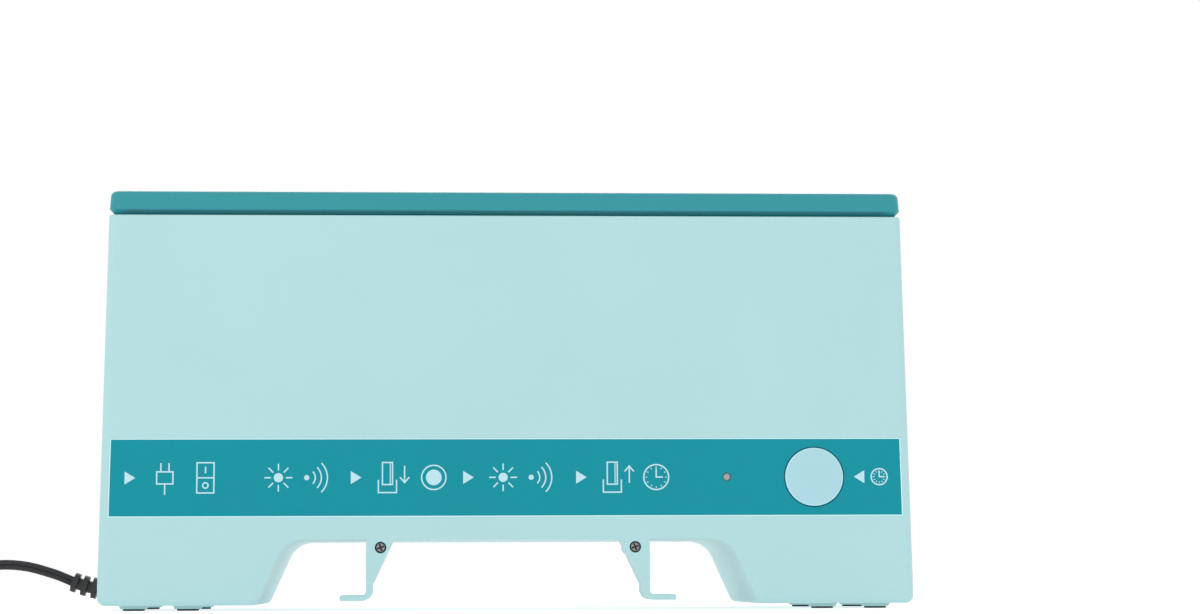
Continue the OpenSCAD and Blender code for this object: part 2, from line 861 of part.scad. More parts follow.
module status_led() {
  led_r = 1.5;
  dome_w = lens_end + seat + led_r;
  color("#d9e8dc") front_axis(lens_x, control_z) {
    translate([0, 0, dome_w]) sphere(led_r);
    translate([0, 0, dome_w]) cylinder(r = led_r, h = board_depth - dome_w);
    translate([0, 0, board_depth - 2]) cylinder(r = led_r + 0.4, h = 1);
  }
}

module control_board() {
  color(board_green) difference() {
    on_front() translate([board_x - board_w/2, board_depth, control_z - board_h/2])
      cube([board_w, board_t, board_h]);
    at_board_holes() translate([0, 0, board_depth - 1]) cylinder(r = board_shank_r + seat, h = board_t + 2);
  }
}

module board_screws() {
  color(steel) at_board_holes() translate([0, 0, board_back])
    screw(board_head_r, 1.6, board_shank_r, board_t + board_thread - 2);
}

// Block on the back of the board, placed from the middle of the board
module board_block(x, z, w, h, depth) {
  on_front() translate([board_x + x - w/2, board_back, control_z + z - h/2]) cube([w, depth, h]);
}

module relay() {
  color("#2b4d8c") board_block(-22, -8, 20, 15, part_h);
}

module buzzer() {
  color("#26262a") front_axis(board_x + 4, control_z + 10) translate([0, 0, board_back]) difference() {
    cylinder(r = 6, h = part_h - 0.5);
    translate([0, 0, part_h - 2]) cylinder(r = 1, h = 3);
  }
}

module capacitor() {
  color("#c9a13a") board_block(-24, 11, 18, 10, part_h - 1);
}

// Distance of a terminal from the middle of the case
function way_x(i) = block_x + (i - (block_ways - 1)/2)*block_pitch;

module terminal_block() {
  color("#4f8f5a") difference() {
    board_block(block_x - board_x, block_z - control_z, block_ways*block_pitch, 8, part_h);
    for (i = [0:block_ways - 1])
      front_axis(way_x(i), block_z) translate([0, 0, board_back + part_h - block_hole])
        cylinder(r = wire_r + 0.5, h = 2*block_hole);
  }
}

// Power switch

module at_switch() {
  on_side(1) translate([-switch_sink, switch_y, switch_z]) children();
}

// Block centred on the switch, from depth x0 to x1 and larger than its body by grow all round
module switch_block(x0, x1, grow) {
  w = switch_w + 2*grow;
  l = switch_l + 2*grow;
  at_switch() translate([x0, -w/2, -l/2]) cube([x1 - x0, w, l]);
}

module switch_frame() {
  color(charcoal) difference() {
    union() {
      switch_block(-switch_depth, bezel_t, 0);
      switch_block(0, bezel_t, bezel);
    }
    switch_block(-9, 9, -switch_rim);
    at_switch() translate([pivot_x, -rocker_w/2 - 1.4, 0]) rotate([-90, 0, 0])
      cylinder(r = pivot_r + run, h = rocker_w + 2.8);
  }
}

// Rocker with a dished face, resting tilted to its off side
module rocker() {
  color("#1f1f22") at_switch() translate([pivot_x, 0, 0]) rotate([0, rocker_tilt, 0]) {
    rotate([90, 0, 0]) translate([0, 0, -rocker_w/2]) linear_extrude(rocker_w) polygon([
      [rocker_edge, -rocker_half], [rocker_edge - rocker_dish, 0], [rocker_edge, rocker_half],
      [1.5, rocker_half], [-rocker_belly, rocker_half*0.4], [-rocker_belly, -rocker_half*0.4],
      [1.5, -rocker_half]
    ]);
    translate([0, -rocker_w/2 - 1.1, 0]) rotate([-90, 0, 0]) cylinder(r = pivot_r, h = rocker_w + 2.2);
  }
}

module switch_terminals() {
  color(tin) at_switch() for (z = [-1, 1])
    translate([-switch_depth - blade[0], -blade[1]/2, z*blade_z - blade[2]/2]) cube(blade);
}

// Heating well and heater

module at_rivets() {
  for (x = [-1, 0, 1], y = [-1, 1])
    translate([x*slot_l*0.4, heat_yc + y*(slot_w/2 + sheet), rivet_z]) rotate([y*-90, 0, 0]) children();
}

module heating_well() {
  color(steel) difference() {
    union() {
      translate([0, heat_yc, tray_floor_top]) linear_extrude(deck_top - tray_floor_top + sheet)
        slot_outline(slot_w, sheet);
      translate([0, heat_yc, deck_top]) linear_extrude(sheet)
        slot_outline(slot_w, sheet + heat_rim);
    }
    translate([0, heat_yc, tray_floor_top - 1]) linear_extrude(deck_top - tray_floor_top + 5)
      slot_outline(slot_w, 0);
    at_rivets() translate([0, 0, -2*sheet]) cylinder(r = rivet_r + run, h = 4*sheet);
    // Gaps at the ends, where the terminals of the elements come out
    both_sides() translate([slot_l/2 - 8, heat_yc - 6, tray_floor_top - 1])
      cube([20, 12, element_top - tray_floor_top + 1]);
  }
}

module heater_plate() {
  groove = 1.6;
  color("#c4c7ca") difference() {
    translate([0, heat_yc, element_top]) linear_extrude(plate_t)
      rounded_rect(slot_l - 2*free, slot_w - 2*free, slot_corner);
    for (y = [-1, 0, 1])
      translate([-slot_l/2, heat_yc + y*slot_w/4 - groove/2, plate_top - groove/2])
        cube([slot_l, groove, groove]);
  }
}

// Two flat elements under the plate, joined past the thermostat, each with an outer terminal
module heating_elements() {
  tail = [slot_l/2 + element_tail - stat_gap - element_l, 6, 0.8];
  link = [2*stat_gap, 3, 0.8];
  color("#8d7b52") {
    both_sides() translate([stat_gap, heat_yc, 0]) {
      translate([0, -element_w/2, insulation_top]) cube([element_l, element_w, element_t]);
      translate([element_l, -tail[1]/2, tail_z - tail[2]/2]) cube(tail);
    }
    translate([-stat_gap, heat_yc + element_w/2 - link[1], tail_z - link[2]/2]) cube(link);
  }
}

module insulation_board() {
  color("#d9d4c8") difference() {
    translate([-slot_l/2 + 8, heat_yc - slot_w/2 + 1, tray_floor_top])
      cube([slot_l - 16, slot_w - 2, insulation_t]);
    translate([0, heat_yc, tray_floor_top - 1]) cylinder(r = stat_r + 1, h = insulation_t + 2);
  }
}

// Folded channel under the well, which clamps the heater stack to it
module heater_tray() {
  inner_w = slot_w + 2*sheet + 2*run;
  l = slot_l + 2*sheet;
  color("#a9adb2") difference() {
    translate([-l/2, heat_yc - inner_w/2 - sheet, tray_bottom])
      cube([l, inner_w + 2*sheet, tray_wall_h + sheet]);
    translate([-l/2 - 1, heat_yc - inner_w/2, tray_floor_top]) cube([l + 2, inner_w, tray_wall_h + 1]);
    translate([0, heat_yc, tray_bottom - 1]) cylinder(r = stat_r + 1, h = sheet + 2);
    at_rivets() translate([0, 0, -2*sheet]) cylinder(r = rivet_r + run, h = 6*sheet);
  }
}

module tray_rivets() {
  color(tin) at_rivets() {
    translate([0, 0, -sheet]) cylinder(r = rivet_r, h = 2*sheet + run);
    translate([0, 0, sheet + run]) cylinder(r = rivet_r + 1.2, h = 0.8);
  }
}

module thermostat() {
  plate = [30, 10, 0.8];
  tab = [0.8, 6, 8];
  color("#cfcac0") translate([0, heat_yc, 0]) {
    translate([0, 0, tray_bottom - 0.5]) cylinder(r = stat_r, h = element_top - tray_bottom + 0.5);
    translate([-plate[0]/2, -plate[1]/2, tray_bottom - plate[2]]) cube(plate);
    translate([0, 0, tray_bottom - stat_body_l]) cylinder(r = stat_r - 0.6, h = stat_body_l);
    for (x = [-1, 1])
      translate([x*stat_blade_x - tab[0]/2, -tab[1]/2, tray_bottom - stat_body_l - tab[2] + 1]) cube(tab);
  }
}

module thermal_fuse() {
  color("#e3dfd2") translate([fuse_x, heat_yc, fuse_z]) rotate([0, 90, 0]) {
    translate([0, 0, -fuse_l/2]) cylinder(r = fuse_r, h = fuse_l);
    translate([0, 0, -fuse_l/2 - fuse_tail]) cylinder(r = 0.5, h = fuse_l + 2*fuse_tail);
  }
}

// Strap that holds the fuse up against the tray
module fuse_clip() {
  strap_t = 0.8;
  inner = fuse_r + seat;
  foot = 6;
  drop = tray_bottom - fuse_z;
  color(steel) translate([fuse_x + 3, heat_yc, tray_bottom]) rotate([90, 0, -90]) linear_extrude(6)
    difference() {
      union() {
        translate([0, -drop]) circle(inner + strap_t);
        translate([-inner - strap_t, -drop]) square([2*(inner + strap_t), drop]);
        translate([-inner - foot, -strap_t]) square([2*(inner + foot), strap_t]);
      }
      translate([0, -drop]) circle(inner);
      translate([-inner, -drop]) square([2*inner, drop + 1]);
    }
}

module cooling_tray() {
  color("#c6e4e6") difference() {
    union() {
      translate([0, cool_yc, cool_floor - cool_t]) linear_extrude(deck_top - cool_floor + 2*cool_t)
        slot_outline(cool_w, cool_t);
      translate([0, cool_yc, deck_top]) linear_extrude(cool_t)
        slot_outline(cool_w, cool_t + cool_rim);
    }
    translate([0, cool_yc, cool_floor]) linear_extrude(case_h - cool_floor)
      slot_outline(cool_w, 0);
  }
}

// Mains lead

// Point and heading of the strain relief's tip, in the frame of the wall
relief_end = [
  relief_flange_t + relief_arc_r*sin(relief_arc), relief_y, relief_z + relief_arc_r*(1 - cos(relief_arc))
];
relief_heading = [cos(relief_arc), 0, sin(relief_arc)];

// Turns a vector, and then a point, from the left wall's frame into the part's own
function wall_turn(v) = [
  -(v[0]*cos(side_draft) - v[2]*sin(side_draft)), v[1], v[0]*sin(side_draft) + v[2]*cos(side_draft)
];
function wall_point(p) = wall_turn(p) - [case_w/2, 0, 0];

module strain_relief() {
  rib_t = 2.7;
  color(charcoal) on_side(-1) translate([0, relief_y, relief_z]) {
    rotate([0, 90, 0]) {
      cylinder(r = relief_flange_r, h = relief_flange_t);
      translate([0, 0, -wall - relief_play]) cylinder(r = relief_hole_r - seat, h = wall + relief_play);
      translate([0, 0, -wall - relief_play - relief_lip_t])
        cylinder(r = relief_hole_r + relief_lip, h = relief_lip_t);
    }
    // Core on an arc, with ribs that grow smaller to the tip
    translate([relief_flange_t, 0, relief_arc_r]) {
      rotate([90, 0, 0]) rotate([0, 0, -90]) rotate_extrude(angle = relief_arc)
        translate([relief_arc_r, 0]) circle(relief_core_r);
      for (i = [1:relief_ribs])
        rotate([0, -relief_arc*i/(relief_ribs + 0.35), 0]) translate([-rib_t/2, 0, -relief_arc_r])
          rotate([0, 90, 0]) cylinder(r = relief_flange_r - 0.1 - 0.18*i, h = rib_t);
    }
  }
}

lead_start = wall_point(relief_end);
lead_dir = wall_turn(relief_heading);
lead_path = concat(
  [lead_start, lead_start + lead_w*lead_dir, lead_start + 11*lead_dir + [0, 0, -0.2]],
  lead_points,
  [[coil_x + 2*coil_lead, coil_y + coil_out_r, coil_z], [coil_x + coil_lead, coil_y + coil_out_r, coil_z]]
);

module cord_run() {
  color(charcoal) swept(lead_path, oval(5));
}

// Radius and height of the coil at angle a from its start
coil_mid = coil_in + 90;
function coil_r(a) = coil_out_r - coil_pitch/360*(min(a, coil_mid) - max(0, a - coil_mid));
function ease(t) = t*t*(3 - 2*t);
function coil_h(a) = coil_z + coil_layer*ease(min(1, max(0, (a - coil_in)/180)));
function coil_point(a) = [
  coil_x + coil_r(a)*cos(90 + a), coil_y + coil_r(a)*sin(90 + a), coil_h(a)
];

coil_top_z = coil_z + coil_layer;
coil_path = concat(
  [[coil_x + coil_lead, coil_y + coil_out_r, coil_z]],
  [for (a = [0:360/coil_steps:coil_all]) coil_point(a)],
  [
    [plug_x, coil_y - 12, coil_top_z - 0.6], [plug_x, coil_y - 22, (coil_top_z + plug_z)/2],
    [plug_x, plug_tail_y + coil_lead, plug_z], [plug_x, plug_tail_y, plug_z]
  ]
);

// Least gap of the coil to itself, between points more than half a turn apart
flat_half = (lead_w - lead_t)/2;
coil_gap = min([
  for (i = [0:len(coil_path) - 1], k = [i + coil_steps/2:1:len(coil_path) - 1])
    let (d = coil_path[i] - coil_path[k])
    norm([d[0], d[1], max(0, abs(d[2]) - 2*flat_half)]) - lead_t
]);
function total(list) = list*[for (i = list) 1];
function length(path) = total([for (i = [1:len(path) - 1]) norm(path[i] - path[i - 1])]);
echo(least_gap_of_coil = coil_gap, lead_length = length(lead_path) + length(coil_path));

module cord_coil() {
  color(charcoal) swept(coil_path, oval(3));
}

// Strap round the turns of the coil
module cord_tie() {
  inner_x0 = coil_out_r - coil_pitch*(coil_turns + 0.25) - lead_t/2 - 0.9;
  inner_x1 = coil_out_r + lead_t/2 + 0.5;
  inner_h = coil_layer + lead_w + 0.5;
  inner_w = inner_x1 - inner_x0;
  color("#2a282a") translate([coil_x, coil_y, 0]) rotate(-60)
    translate([(inner_x0 + inner_x1)/2, tie_w/2, tie_t + inner_h/2]) rotate([90, 0, 0])
      linear_extrude(tie_w) difference() {
        rounded_rect(inner_w + 2*tie_t, inner_h + 2*tie_t, 2 + tie_t);
        rounded_rect(inner_w, inner_h, 2);
      }
}

// Frame of the plug: Z runs along it to its pins, with the middle of its tail's end at the origin
module at_plug() {
  translate([plug_x, plug_tail_y, plug_z]) rotate([90, 0, 0]) children();
}

module at_plug_pins() {
  z = plug_tail_l + plug_body_l + plug_flange[2];
  for (x = [-1, 1]) translate([x*plug_pin_pitch/2, 0, z]) rotate([0, -x*plug_pin_lean, 0]) children();
}

module plug_body() {
  slits = 4;
  pitch = 3.6;
  color(charcoal) at_plug() {
    difference() {
      cylinder(r1 = plug_tail_r - 0.7, r2 = plug_tail_r, h = plug_tail_l);
      for (i = [0:slits - 1], x = [-1, 1])
        translate([x*plug_tail_r, 0, 4 + i*pitch + (x + 1)/2*pitch/2])
          cube([2*plug_tail_r - 4, 20, 1.4], center = true);
    }
    hull() {
      translate([0, 0, plug_tail_l]) linear_extrude(0.5) circle(plug_tail_r + 0.6, $fn = 32);
      translate([0, 0, plug_tail_l + 10]) linear_extrude(0.5) stadium(24, 11.4, $fn = 32);
      translate([0, 0, plug_tail_l + plug_body_l - 0.5]) linear_extrude(0.5) stadium(31, 11.8, $fn = 32);
    }
    translate([0, 0, plug_tail_l + plug_body_l]) linear_extrude(plug_flange[2])
      stadium(plug_flange[0], plug_flange[1]);
    at_plug_pins() translate([0, 0, -1]) cylinder(r = plug_pin_r - 0.1, h = plug_sleeve_l + 1);
  }
}

module plug_pins() {
  color(tin) at_plug() at_plug_pins() translate([0, 0, plug_sleeve_l]) {
    cylinder(r = plug_pin_r, h = plug_tip_l - plug_pin_r);
    translate([0, 0, plug_tip_l - plug_pin_r]) sphere(plug_pin_r);
  }
}

// Wires inside the case

wire_r = 1.1;
wire_bend = 6;
wire_gap = 0.2;

// Point given by its place along the front face, its depth behind it and its height along it
function front_point(x, d, z) = [
  x, -case_d/2 + d*cos(face_lean) + z*sin(face_lean), z*cos(face_lean) - d*sin(face_lean)
];

// Smooth path through the points p
function bend(a, b, c, d, t) =
  (2*b + (c - a)*t + (2*a - 5*b + 4*c - d)*t*t + (3*b - a - 3*c + d)*t*t*t)/2;
function smooth(p) =
  let (n = len(p), q = concat([2*p[0] - p[1]], p, [2*p[n - 1] - p[n - 2]]))
  [for (i = [0:n - 2], t = [0, 1/3, 2/3]) bend(q[i], q[i + 1], q[i + 2], q[i + 3], t), p[n - 1]];

module wire(points) {
  swept(smooth(points), circle_ring(wire_r, 6), [-0.4, 0.7, 0.6]);
}

// End of a wire in terminal i of the block, and the point where it comes out
function way_end(i) = front_point(way_x(i), board_back + part_h - block_hole + wire_gap, block_z);
function way_out(i) = front_point(way_x(i), board_back + part_h + wire_bend, block_z);

// Ends of the wires on the lead, the switch, the elements, the fuse and the thermostat
function core_end(z) = wall_point([-wall - relief_play - relief_lip_t - wire_gap, relief_y, relief_z + z]);
function blade_end(side) =
  let (d = -switch_sink - switch_depth - blade[0] - wire_gap, z = switch_z + side*blade_z)
  [case_w/2 + d*cos(side_draft) - z*sin(side_draft), switch_y, d*sin(side_draft) + z*cos(side_draft)];
element_end = [slot_l/2 + element_tail + wire_gap, heat_yc, tail_z];
fuse_reach = fuse_l/2 + fuse_tail + wire_gap;
stat_end = [stat_blade_x + 0.4 + wire_gap, heat_yc, tray_bottom - stat_body_l - 0.75*wire_bend];
loft_z = arch_h + wall + 1.3*wire_bend;

module mains_wires() {
  core_z = lead_w/4 + 0.1;
  live = core_end(core_z);
  neutral = core_end(-core_z);
  lower = blade_end(-1);
  color("#7a4a2e") {
    wire([
      live, live + wire_bend*[1.2, 0, 0.1], live + wire_bend*[2.8, 0, 1.3], live + wire_bend*[5, 0, 4.3],
      live + wire_bend*[8.7, 0, 5.8], [-case_w/4, relief_y, loft_z + wire_bend/2],
      [0, relief_y, loft_z + wire_bend/2], [case_w/4, relief_y, loft_z + wire_bend/2],
      [lower[0] - 5*wire_bend, relief_y, loft_z + wire_bend],
      [lower[0] - 2*wire_bend, relief_y - 1.5*wire_bend, (loft_z + lower[2])/2],
      [lower[0] - wire_bend, switch_y + wire_bend/2, lower[2] - 2*wire_bend],
      lower - wire_bend*[0.8, 0, 0.15], lower
    ]);
    wire([
      neutral, neutral + wire_bend*[1.2, 0, -0.05], neutral + wire_bend*[2.8, -0.3, 0.5],
      neutral + wire_bend*[5.2, -0.7, 2.7], neutral + wire_bend*[8.7, -0.8, 5.5],
      [-case_w/4, relief_y - wire_bend, loft_z], [0, relief_y - wire_bend, loft_z],
      [case_w/4, relief_y - wire_bend, loft_z], [way_x(4) - 2*wire_bend, relief_y - 2*wire_bend, loft_z],
      [way_x(4), 0, loft_z], way_out(4), way_end(4)
    ]);
  }
}

module switch_wire() {
  upper = blade_end(1);
  drop = upper[2] - loft_z;
  color("#3f5f9c") wire([
    upper, upper - wire_bend*[0.8, 0, 0], upper - wire_bend*[1, 1, 1],
    upper - [wire_bend, 2*wire_bend, drop/3], upper - [wire_bend, 2.3*wire_bend, drop*2/3],
    upper - [1.7*wire_bend, 3.3*wire_bend, drop - 1.5*wire_bend],
    [way_x(3) + wire_bend/3, heat_yc - wire_bend, loft_z + wire_bend/2], way_out(3), way_end(3)
  ]);
}

module heater_wires() {
  right = element_end;
  left = [-right[0], right[1], right[2]];
  fuse_a = [fuse_x + fuse_reach, heat_yc, fuse_z];
  fuse_b = [fuse_x - fuse_reach, heat_yc, fuse_z];
  stat_b = [-stat_end[0], stat_end[1], stat_end[2]];
  gap_x = way_x(2) - fuse_a[0];
  color("#c9c2b0") {
    // From the block to the fuse, and from the fuse to the thermostat
    wire([
      way_end(2), way_out(2), [way_x(2) - wire_bend, heat_yc - 1.3*wire_bend, loft_z + wire_bend/2],
      [fuse_a[0] + 0.7*gap_x, heat_yc, loft_z + wire_bend/2],
      [fuse_a[0] + 0.4*gap_x, heat_yc, fuse_z - wire_bend],
      fuse_a + wire_bend*[2.5, 0, -0.1], fuse_a + wire_bend*[1, 0, 0], fuse_a
    ]);
    wire([
      fuse_b, fuse_b - wire_bend*[1, 0, 0.1], fuse_b - wire_bend*[2, 0, 0.9],
      stat_end + wire_bend*[1.2, 0, 0.1], stat_end
    ]);
    // From the thermostat to the left element, and from the right element to the block
    wire([
      stat_b, stat_b - wire_bend*[1.2, 0, 0], [left[0]/4, heat_yc, stat_b[2] + wire_bend/4],
      [left[0]*0.6, heat_yc, stat_b[2] + wire_bend/2], left + wire_bend*[2, 0, -2.3],
      left + wire_bend*[-0.5, 0, -2], left + wire_bend*[-1.7, 0, -1], left + wire_bend*[-1.2, 0, -0.1], left
    ]);
    wire([
      right, right + wire_bend*[1.2, 0, -0.1], right + wire_bend*[1.7, 0, -1],
      right + wire_bend*[0.3, -0.2, -2], right + wire_bend*[-1.5, -0.8, -2.2],
      right + wire_bend*[-3.5, -2, -2.75], [way_x(1), heat_yc - 3*wire_bend, block_z + 0.2*wire_bend],
      way_out(1), way_end(1)
    ]);
  }
}

front_cover();
main_housing();
top_deck();
deck_screws();
lid();
hinge_pins();
lid_bumpers();
label_strip();
rubber_feet();
hook_screws();
timer_button();
switch_plunger();
button_spring();
tact_switch();
led_lens();
status_led();
control_board();
board_screws();
relay();
buzzer();
capacitor();
terminal_block();
switch_frame();
rocker();
switch_terminals();
heating_well();
heater_plate();
heating_elements();
insulation_board();
heater_tray();
tray_rivets();
thermostat();
thermal_fuse();
fuse_clip();
cooling_tray();
strain_relief();
cord_run();
cord_coil();
cord_tie();
plug_body();
plug_pins();
mains_wires();
switch_wire();
heater_wires();
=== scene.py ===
"""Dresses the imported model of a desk-top thermal binding machine for its portrait.

The camera comes first, then the bench tools and the finishes. The mains lead, the case, the
front panel, the power switch, the slots and what is inside follow, and last the stage and its
light. Metres, in the frame of the CAD model: X to the right, Y to the back, Z up. A size in
millimetres is multiplied by MM where it is used.
"""
import math

import bmesh
import bpy
from mathutils import Matrix, Vector


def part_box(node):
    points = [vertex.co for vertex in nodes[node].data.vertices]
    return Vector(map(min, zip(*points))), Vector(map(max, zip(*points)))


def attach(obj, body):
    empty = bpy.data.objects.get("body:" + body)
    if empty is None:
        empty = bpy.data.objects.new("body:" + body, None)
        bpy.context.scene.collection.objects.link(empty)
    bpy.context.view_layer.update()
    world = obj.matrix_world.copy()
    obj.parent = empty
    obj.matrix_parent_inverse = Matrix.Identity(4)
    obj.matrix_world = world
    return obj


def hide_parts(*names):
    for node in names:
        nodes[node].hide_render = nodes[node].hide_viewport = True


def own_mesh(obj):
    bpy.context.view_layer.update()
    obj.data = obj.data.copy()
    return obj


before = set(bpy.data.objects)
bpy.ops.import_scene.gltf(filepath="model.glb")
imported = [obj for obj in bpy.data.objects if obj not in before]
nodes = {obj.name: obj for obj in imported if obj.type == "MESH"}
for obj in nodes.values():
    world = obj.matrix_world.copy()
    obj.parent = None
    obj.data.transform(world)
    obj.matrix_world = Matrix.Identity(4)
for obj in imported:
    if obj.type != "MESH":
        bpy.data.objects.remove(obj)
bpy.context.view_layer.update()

MM = 0.001


# Camera

PHOTO_W = 1200
FOCUS_PX = 2982
SENSOR_W = 36
CAMERA_AT = (-0.0383, -1.5539, 0.0165)
CAMERA_TURN = (95.157, 0.207, -3.230)

camera = bpy.data.objects.new("camera", bpy.data.cameras.new("camera"))
bpy.context.scene.collection.objects.link(camera)
camera.data.sensor_width = SENSOR_W
camera.data.lens = SENSOR_W * FOCUS_PX / PHOTO_W
camera.location = CAMERA_AT
camera.rotation_euler = [math.radians(angle) for angle in CAMERA_TURN]
camera.data.clip_start = 0.01
bpy.context.scene.camera = camera


# Work on a piece, as on a bench

SHARP = math.radians(32)
TOUCH = 1e-6


def alone(piece):
    """Leaves piece as the only selected object, and the active one."""
    bpy.ops.object.select_all(action="DESELECT")
    piece.select_set(True)
    bpy.context.view_layer.objects.active = piece


class Bench:
    """A piece open in edit mode, with nothing selected but what its methods pick."""

    def __init__(self, piece):
        self.piece = piece

    def __enter__(self):
        alone(self.piece)
        bpy.ops.object.mode_set(mode="EDIT")
        bpy.ops.mesh.select_mode(type="FACE")
        bpy.ops.mesh.select_all(action="DESELECT")
        return self

    def __exit__(self, *_):
        bpy.ops.object.mode_set(mode="OBJECT")

    def all(self):
        bpy.ops.mesh.select_all(action="SELECT")

    def faces(self, test):
        """Selects the faces whose middle and normal pass the test, and no others."""
        bpy.ops.mesh.select_mode(type="FACE")
        mesh = bmesh.from_edit_mesh(self.piece.data)
        for face in mesh.faces:
            face.select_set(bool(test(face.calc_center_median(), face.normal)))
        mesh.select_flush_mode()
        bmesh.update_edit_mesh(self.piece.data)

    def edges(self, test):
        """Selects the edges whose two ends pass the test, and no others."""
        bpy.ops.mesh.select_mode(type="EDGE")
        mesh = bmesh.from_edit_mesh(self.piece.data)
        for edge in mesh.edges:
            edge.select_set(bool(test(edge.verts[0].co, edge.verts[1].co)))
        mesh.select_flush_mode()
        bmesh.update_edit_mesh(self.piece.data)

    def sharp_edges(self, test):
        """Selects the sharp edges with both ends where the test passes, and no others."""
        bpy.ops.mesh.select_mode(type="EDGE")
        mesh = bmesh.from_edit_mesh(self.piece.data)
        for edge in mesh.edges:
            sharp = len(edge.link_faces) == 2 and edge.calc_face_angle(0) > SHARP
            edge.select_set(bool(sharp and test(edge.verts[0].co) and test(edge.verts[1].co)))
        mesh.select_flush_mode()
        bmesh.update_edit_mesh(self.piece.data)

    def open_edges(self):
        """Selects one run of edges with a face on one side only, if there is one left."""
        bpy.ops.mesh.select_mode(type="EDGE")
        bpy.ops.mesh.select_all(action="DESELECT")
        mesh = bmesh.from_edit_mesh(self.piece.data)
        run = [edge for edge in mesh.edges if edge.is_boundary][:1]
        seen = set(run)
        while run:
            edge = run.pop()
            edge.select_set(True)
            for end in edge.verts:
                for near in end.link_edges:
                    if near.is_boundary and near not in seen:
                        seen.add(near)
                        run.append(near)
        bmesh.update_edit_mesh(self.piece.data)
        return len(seen)

    def extrude(self, x, y, z):
        bpy.ops.mesh.extrude_region_move(TRANSFORM_OT_translate={"value": (x, y, z)})


def modify(piece, kind, **settings):
    """Adds a modifier with these settings, and applies it."""
    alone(piece)
    change = piece.modifiers.new(kind.lower(), kind)
    for name, value in settings.items():
        setattr(change, name, value)
    bpy.ops.object.modifier_apply(modifier=change.name)


def cut(piece, cutter):
    """Takes a cutter's room out of a piece, and the cutter away."""
    modify(piece, "BOOLEAN", operation="DIFFERENCE", object=cutter, solver="EXACT")
    bpy.data.objects.remove(cutter)


def place(piece, matrix):
    """Puts a piece where the matrix says, with its place in its mesh."""
    alone(piece)
    piece.matrix_world = matrix @ piece.matrix_world
    bpy.ops.object.transform_apply(location=True, rotation=True, scale=True)
    return piece


def join(name, pieces):
    """Makes one piece of several."""
    bpy.ops.object.select_all(action="DESELECT")
    for piece in pieces:
        piece.select_set(True)
    bpy.context.view_layer.objects.active = pieces[0]
    if len(pieces) > 1:
        bpy.ops.object.join()
    pieces[0].name = pieces[0].data.name = name
    return pieces[0]


def block(name, x, y, z, size, edge=0.0):
    """A box with its middle at x, y, z, in millimetres, with its edges rounded."""
    bpy.ops.object.select_all(action="DESELECT")
    bpy.ops.mesh.primitive_cube_add(size=1, location=(x * MM, y * MM, z * MM))
    made = bpy.context.object
    made.name = name
    made.scale = [v * MM for v in size]
    bpy.ops.object.transform_apply(location=True, rotation=True, scale=True)
    if edge:
        with Bench(made) as bench:
            bench.all()
            bpy.ops.mesh.bevel(offset=edge * MM, segments=3, affect="EDGES")
    return made


def round_bar(name, radius, length, sides=40):
    """A round bar from the origin up along Z, in millimetres."""
    bpy.ops.object.select_all(action="DESELECT")
    bpy.ops.mesh.primitive_cylinder_add(
        vertices=sides, radius=radius * MM, depth=length * MM, location=(0, 0, length * MM / 2)
    )
    made = bpy.context.object
    bpy.ops.object.transform_apply(location=True, rotation=True, scale=True)
    made.name = name
    return made


def smooth(piece, angle=30):
    """Shades a piece smooth, but for edges sharper than the angle."""
    alone(piece)
    bpy.ops.object.shade_smooth_by_angle(angle=math.radians(angle))


def even_shading(piece):
    """Smooth shading that keeps wide flat faces flat."""
    smooth(piece, 35)
    modify(piece, "WEIGHTED_NORMAL", keep_sharp=True)


def soften(piece, width, segments=2):
    """Rounds all the sharp edges of a piece, as a mould does."""
    alone(piece)
    bpy.ops.object.shade_smooth()
    modify(
        piece, "BEVEL", width=width * MM, segments=segments, limit_method="ANGLE",
        angle_limit=SHARP, harden_normals=True, miter_outer="MITER_ARC",
    )


def round_edges(piece, width, segments, test):
    """Rounds the sharp edges whose ends pass the test."""
    with Bench(piece) as bench:
        bench.sharp_edges(test)
        bpy.ops.mesh.bevel(
            offset=width * MM, segments=segments, affect="EDGES", clamp_overlap=True
        )


MERGE_WITHIN = 2e-5
SLIVER = 3e-5
FLAT = math.radians(0.3)
MOST_HOLES = 40


def cad_copy(node, name):
    """A copy of a CAD node's mesh as one closed skin with flat faces whole."""
    piece = bpy.data.objects.new(name, nodes[node].data.copy())
    bpy.context.scene.collection.objects.link(piece)
    piece.data.name = name
    alone(piece)
    bpy.ops.mesh.customdata_custom_splitnormals_clear()
    with Bench(piece) as bench:
        bench.all()
        bpy.ops.mesh.remove_doubles(threshold=MERGE_WITHIN)
        bpy.ops.mesh.dissolve_degenerate(threshold=SLIVER)
        bpy.ops.mesh.dissolve_limited(angle_limit=FLAT)
        for _ in range(MOST_HOLES):
            if not bench.open_edges():
                break
            bpy.ops.mesh.edge_face_add()
    return piece


def dress(piece, body, slot, finish, *replaced):
    """Gives a piece its finish and its body, and hides the nodes that it stands for; the slot is
    not used.
    """
    piece.data.materials.clear()
    piece.data.materials.append(finish.material)
    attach(piece, body)
    if replaced:
        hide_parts(*replaced)
    return piece


def moulding(node, name, body, slot, finish, width, segments=2):
    """A copy of a CAD node with its sharp edges rounded, dressed to stand for the node."""
    piece = cad_copy(node, name)
    soften(piece, width, segments)
    return dress(piece, body, slot, finish, node)


def smooth_copy(node, name, body, slot, finish, angle):
    """A copy of a CAD node, shaded smooth and dressed to stand for the node."""
    piece = cad_copy(node, name)
    smooth(piece, angle)
    return dress(piece, body, slot, finish, node)


# Finishes

GROOVE_SHADE = "groove"
DRIFT_SCALE = 14
GRAIN_SCALE = 2400
GRAIN_DEEP = 0.05 * MM


def tone(red, green, blue):
    """Linear colour of a tone given from 0 to 255."""
    shares = [v / 255 for v in (red, green, blue)]
    linear = [v / 12.92 if v <= 0.04045 else ((v + 0.055) / 1.055) ** 2.4 for v in shares]
    return (*linear, 1.0)


